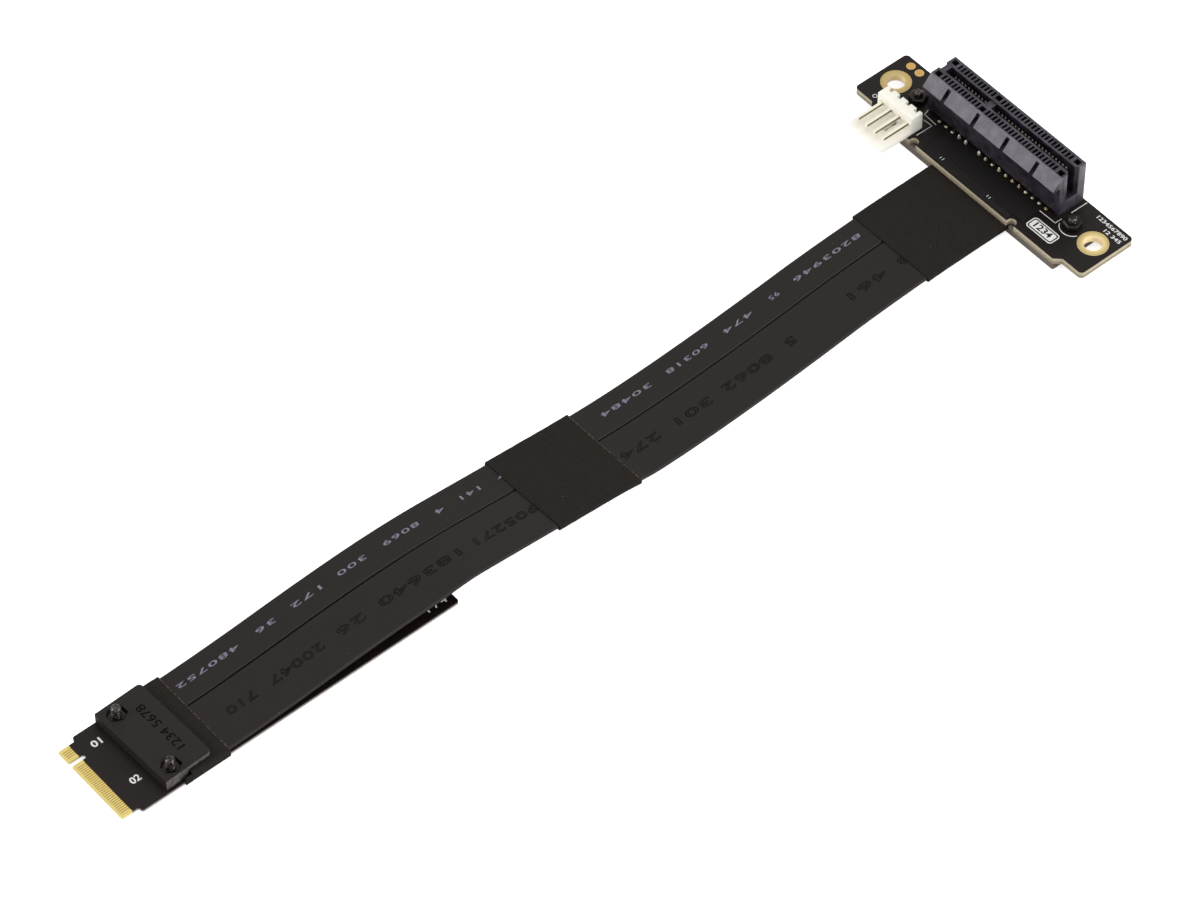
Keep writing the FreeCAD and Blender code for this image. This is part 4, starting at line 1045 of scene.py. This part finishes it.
# ---- The x4 slot --------------------------------------------------------------------------
# A glass-filled moulding, black with a violet cast, with two rows of gold spring contacts.
# Each tail goes down through a gold pad, and solder draws up round it.
def slot_finish():
    """Semi-gloss glass-filled plastic, clouded where it flowed, its open end given a patchy grey
    painted highlight, brightest towards the top.
    """
    f = Finish("slot moulding", {"Specular IOR Level": 0.5, "Coat Roughness": 0.36,
                                 "Coat Tint": (0.96, 0.92, 1.0, 1),
                                 "Specular Tint": (0.95, 0.91, 1.0, 1)})
    cloud = ((f.vary(2.2, 4.0) - 0.36) * 3.2).clamped()
    f.feed(f.shader.inputs["Coat Weight"], cloud * 0.75 + f.vary(0.25, 3.0) * 0.3)
    low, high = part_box("slot_housing")
    _, y, z = f.axes(f.place)
    # painted highlight: the open end face is lightened in patches, more towards its top
    open_end_highlight = (y < low.y + 0.1 * MM) * ((z - low.z) * (1 / (high.z - low.z)) * 0.7 + 0.3)
    worn = (f.vary(1.2, 3.0, stretch=(1, 1, 0.3)) * 2.4 - 0.7).clamped()
    f.colour(f.mix(open_end_highlight * worn, f.mix(cloud, ink(14, 10, 18), ink(32, 27, 38)),
                   ink(92, 87, 92)))
    f.roughness(cloud * 0.2 + 0.35)
    f.relief(f.vary(0.1, 4.0), 0.015, 0.1)
    return f


NOSE_LEVEL, NOSE_HALF = 12.65, 0.18


def spring_finish():
    """Spring contacts: gold at the nose that touches a card, painted paler as a highlight, and dark
    brown elsewhere, which is painted shade down in the slot.
    """
    f = Finish("spring contact", {"Metallic": 0.45, "Specular IOR Level": 0.5})
    # painted highlight on the nose band, painted shade on the rest of the contact
    nose = abs(f.axes(f.place)[2] / MM - NOSE_LEVEL) < NOSE_HALF
    painted_cavity_shade = f.mix(f.vary(0.4), ink(70, 54, 32), ink(48, 36, 22))
    f.colour(f.mix(nose, painted_cavity_shade, ink(244, 238, 216)))
    f.roughness(f.vary(0.3) * 0.15 + 0.3)
    f.relief(f.vary(0.2), 0.004)
    return f


dress(slot_finish(), "slot_housing")
dress(spring_finish(), "slot_contacts_front", "slot_contacts_back")


def joint_recipe(finish, flat):
    """A pad or a solder joint on each point: a low drum, or a dome of uneven size."""
    r = Recipe("flat_pad" if flat else "solder_joint", ("Radius", "Height"))
    if flat:
        body = r.node("GeometryNodeMeshCylinder", {"fill_type": "NGON"}, {
            "Vertices": 16, "Radius": r.size("Radius"), "Depth": r.size("Height")})
        scale = (1.0, 1.0, 1.0)
    else:
        body = r.node("GeometryNodeMeshUVSphere", None, {
            "Segments": 12, "Rings": 8, "Radius": r.size("Radius")})
        squat = r.node("ShaderNodeCombineXYZ", None, {
            "X": 1.0, "Y": 1.0, "Z": r.size("Height") / r.size("Radius")})
        body = r.node("GeometryNodeTransform", None, {"Geometry": body, "Scale": squat})
        body = r.node("GeometryNodeSetShadeSmooth", None, {"Geometry": body})
        scale = r.node("FunctionNodeRandomValue", {"data_type": "FLOAT_VECTOR"}, {
            "Min": (0.3, 0.3, 0.2), "Max": (1.1, 1.1, 1.2), "Seed": 7})
    r.end(r.node("GeometryNodeInstanceOnPoints", None, {
        "Points": r.size("Geometry"), "Instance": body, "Scale": scale}), finish)
    return r


def tail_places(node):
    """Where each tail of a contact row meets the board, from the tails' lowest ends."""
    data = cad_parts[node].data
    foot = min(v.co.z for v in data.vertices)
    rows = {}
    for v in data.vertices:
        if v.co.z < foot + 0.01 * MM:
            rows.setdefault(math.floor(v.co.y / MM), []).append(v.co)
    return [sum(points, Vector()) / len(points) for points in rows.values()]


front_tails = tail_places("slot_contacts_front")
front_row = min(p.x for p in front_tails)
open_tails = [(p.x, p.y, board_high.z) for p in front_tails if p.x < front_row + 0.5 * MM]
JOINT_RADIUS = 0.42
pads = joint_recipe(soft_gold, True).run(new_mesh("tail_pads", open_tails), Radius=JOINT_RADIUS,
                                         Height=0.05)
add_piece("slot_tail_pads", pads, soft_gold)
# bright solder, frozen smooth with a few dull grains
solder = even_finish(
    "solder", {"Metallic": 0.55, "Specular IOR Level": 0.8}, ink(226, 225, 222),
    ink(160, 158, 152), patches=(0.3,), dullness=(0.2, 0.2, 0.16), grain=(0.25, 0.02))
joints = joint_recipe(solder, False).run(new_mesh("tail_joints", open_tails),
                                         Radius=JOINT_RADIUS, Height=0.8)
add_piece("slot_tail_solder", joints, solder)


# ---- The power header ---------------------------------------------------------------------
# A right-angle header in natural white nylon, with four square tin-plated pins.
def nylon_finish():
    """Natural nylon: waxy white, slightly translucent."""
    f = Finish("white nylon", {"Specular IOR Level": 0.5, "Subsurface Weight": 0.3,
                               "Subsurface Scale": 0.002,
                               "Subsurface Radius": (1.0, 0.95, 0.85)})
    f.colour(f.mix(f.vary(2.0), ink(244, 241, 230), ink(236, 232, 219)))
    f.roughness(f.vary(0.8) * 0.1 + 0.35)
    f.relief(f.vary(0.3, 3.0), 0.008, 0.15)
    return f


def plated_finish():
    """Bright tin plate, dark olive on the sides that face along Y, which is painted shade."""
    f = Finish("tin plate", {"Metallic": 1.0, "Specular IOR Level": 0.5})
    # painted shade on the pins' sides that face along Y
    painted_side_shade = abs(f.facing(1)) > 0.6
    bright = f.mix(f.vary(0.5), ink(252, 248, 234), ink(236, 230, 210))
    f.colour(f.mix(painted_side_shade, bright, ink(132, 124, 92)))
    f.roughness(f.vary(0.3) * 0.15 + 0.25)
    f.relief(f.vary(0.3), 0.004)
    return f


dress(nylon_finish(), "power_header_housing")
dress(plated_finish(), "power_header_pins")


# ---- The bottom cover ---------------------------------------------------------------------
# A shallow matt moulding under the riser board, held by two countersunk screws, whose threads
# stand out of the hex nuts on top.
dress(moulded_finish("cover moulding", ink(92, 84, 76), ink(106, 98, 88), 0.08),
      "riser_bottom_cover")
dress(steel, "riser_cover_nuts")
dress(glinting_steel, "riser_cover_screws")
screw_ends("riser_screw_threads", "riser_cover_screws", "riser_cover_nuts")


# ---- The table, the light and the camera --------------------------------------------------
# A plain white sweep, two large soft lights, low down on the camera's left and on its right,
# and a faint one overhead.
def seen_by(nodes):
    """Whether a ray comes from the camera, off something glossy or through something clear."""
    return [nodes.node("ShaderNodeLightPath", output=name) for name in (
        "Is Camera Ray", "Is Glossy Ray", "Is Transmission Ray")]


def floor_finish():
    """White paper that also reads white to the camera and in reflections."""
    f = Finish("white sweep", {"Specular IOR Level": 0.1, "Roughness": 0.9,
                               "Base Color": (0.86, 0.86, 0.86, 1), "Emission Strength": 1.0})
    camera, glossy, through = seen_by(f)
    share = (0.68 * camera + 0.16 * glossy + 0.55 * through).clamped()
    f.feed(f.shader.inputs["Emission Color"], f.mix(share, (0, 0, 0, 1), (1, 1, 1, 1)))
    return f


def make_floor():
    """A sheet that reaches past every edge of the view."""
    size = 3.0
    corners = [(-size, -size, 0), (size, -size, 0), (size, size, 0), (-size, size, 0)]
    mesh = new_mesh("floor", corners, faces=[(0, 1, 2, 3)])
    mesh.materials.append(floor_finish().material)
    floor = put("floor", mesh)


def make_world():
    """White where the camera and reflections look, softer as a light."""
    world = bpy.data.worlds.new("studio")
    bpy.context.scene.world = world
    world.use_nodes = True
    nodes = Nodes(world.node_tree)
    camera, glossy, through = seen_by(nodes)
    sky = world.node_tree.nodes["Background"].inputs
    sky["Color"].default_value = (1, 1, 1, 1)
    nodes.feed(sky["Strength"], 0.7 + 0.3 * (camera + glossy + through).clamped())


def make_light(name, place, size, power):
    """A square soft light that faces the middle of the part."""
    light = bpy.data.lights.new(name, "AREA")
    light.shape = "SQUARE"
    light.size, light.energy = size, power
    lamp = put(name, light)
    lamp.location = place
    lamp.rotation_euler = (-Vector(place)).to_track_quat("-Z", "Y").to_euler()


def make_camera():
    """A long lens from the front right, high up."""
    place = Vector((-0.42607, -0.52460, 0.81563))
    target = Vector((0.00388, -0.00539, 0.0024))
    back = (place - target).normalized()
    level = Vector((0, 0, 1)).cross(back).normalized()
    upright = back.cross(level)
    roll = math.radians(-0.687)
    right = level * math.cos(roll) + upright * math.sin(roll)
    up = upright * math.cos(roll) - level * math.sin(roll)
    lens = bpy.data.cameras.new("camera")
    lens.sensor_width, lens.lens = 36.0, 161.63
    camera = put("camera", lens)
    turn = Matrix((right, up, back)).transposed().to_4x4()
    camera.matrix_world = Matrix.Translation(place) @ turn
    bpy.context.scene.camera = camera


make_floor()
make_world()
make_light("softbox", (-1.0, 0.7, 0.42), 0.8, 9.0)
make_light("side_fill", (0.5, -1.1, 0.5), 0.8, 13.0)
make_light("overhead", (0.2, -0.2, 1.6), 1.0, 3.0)
make_camera()
bpy.context.scene.view_settings.view_transform = "Standard"
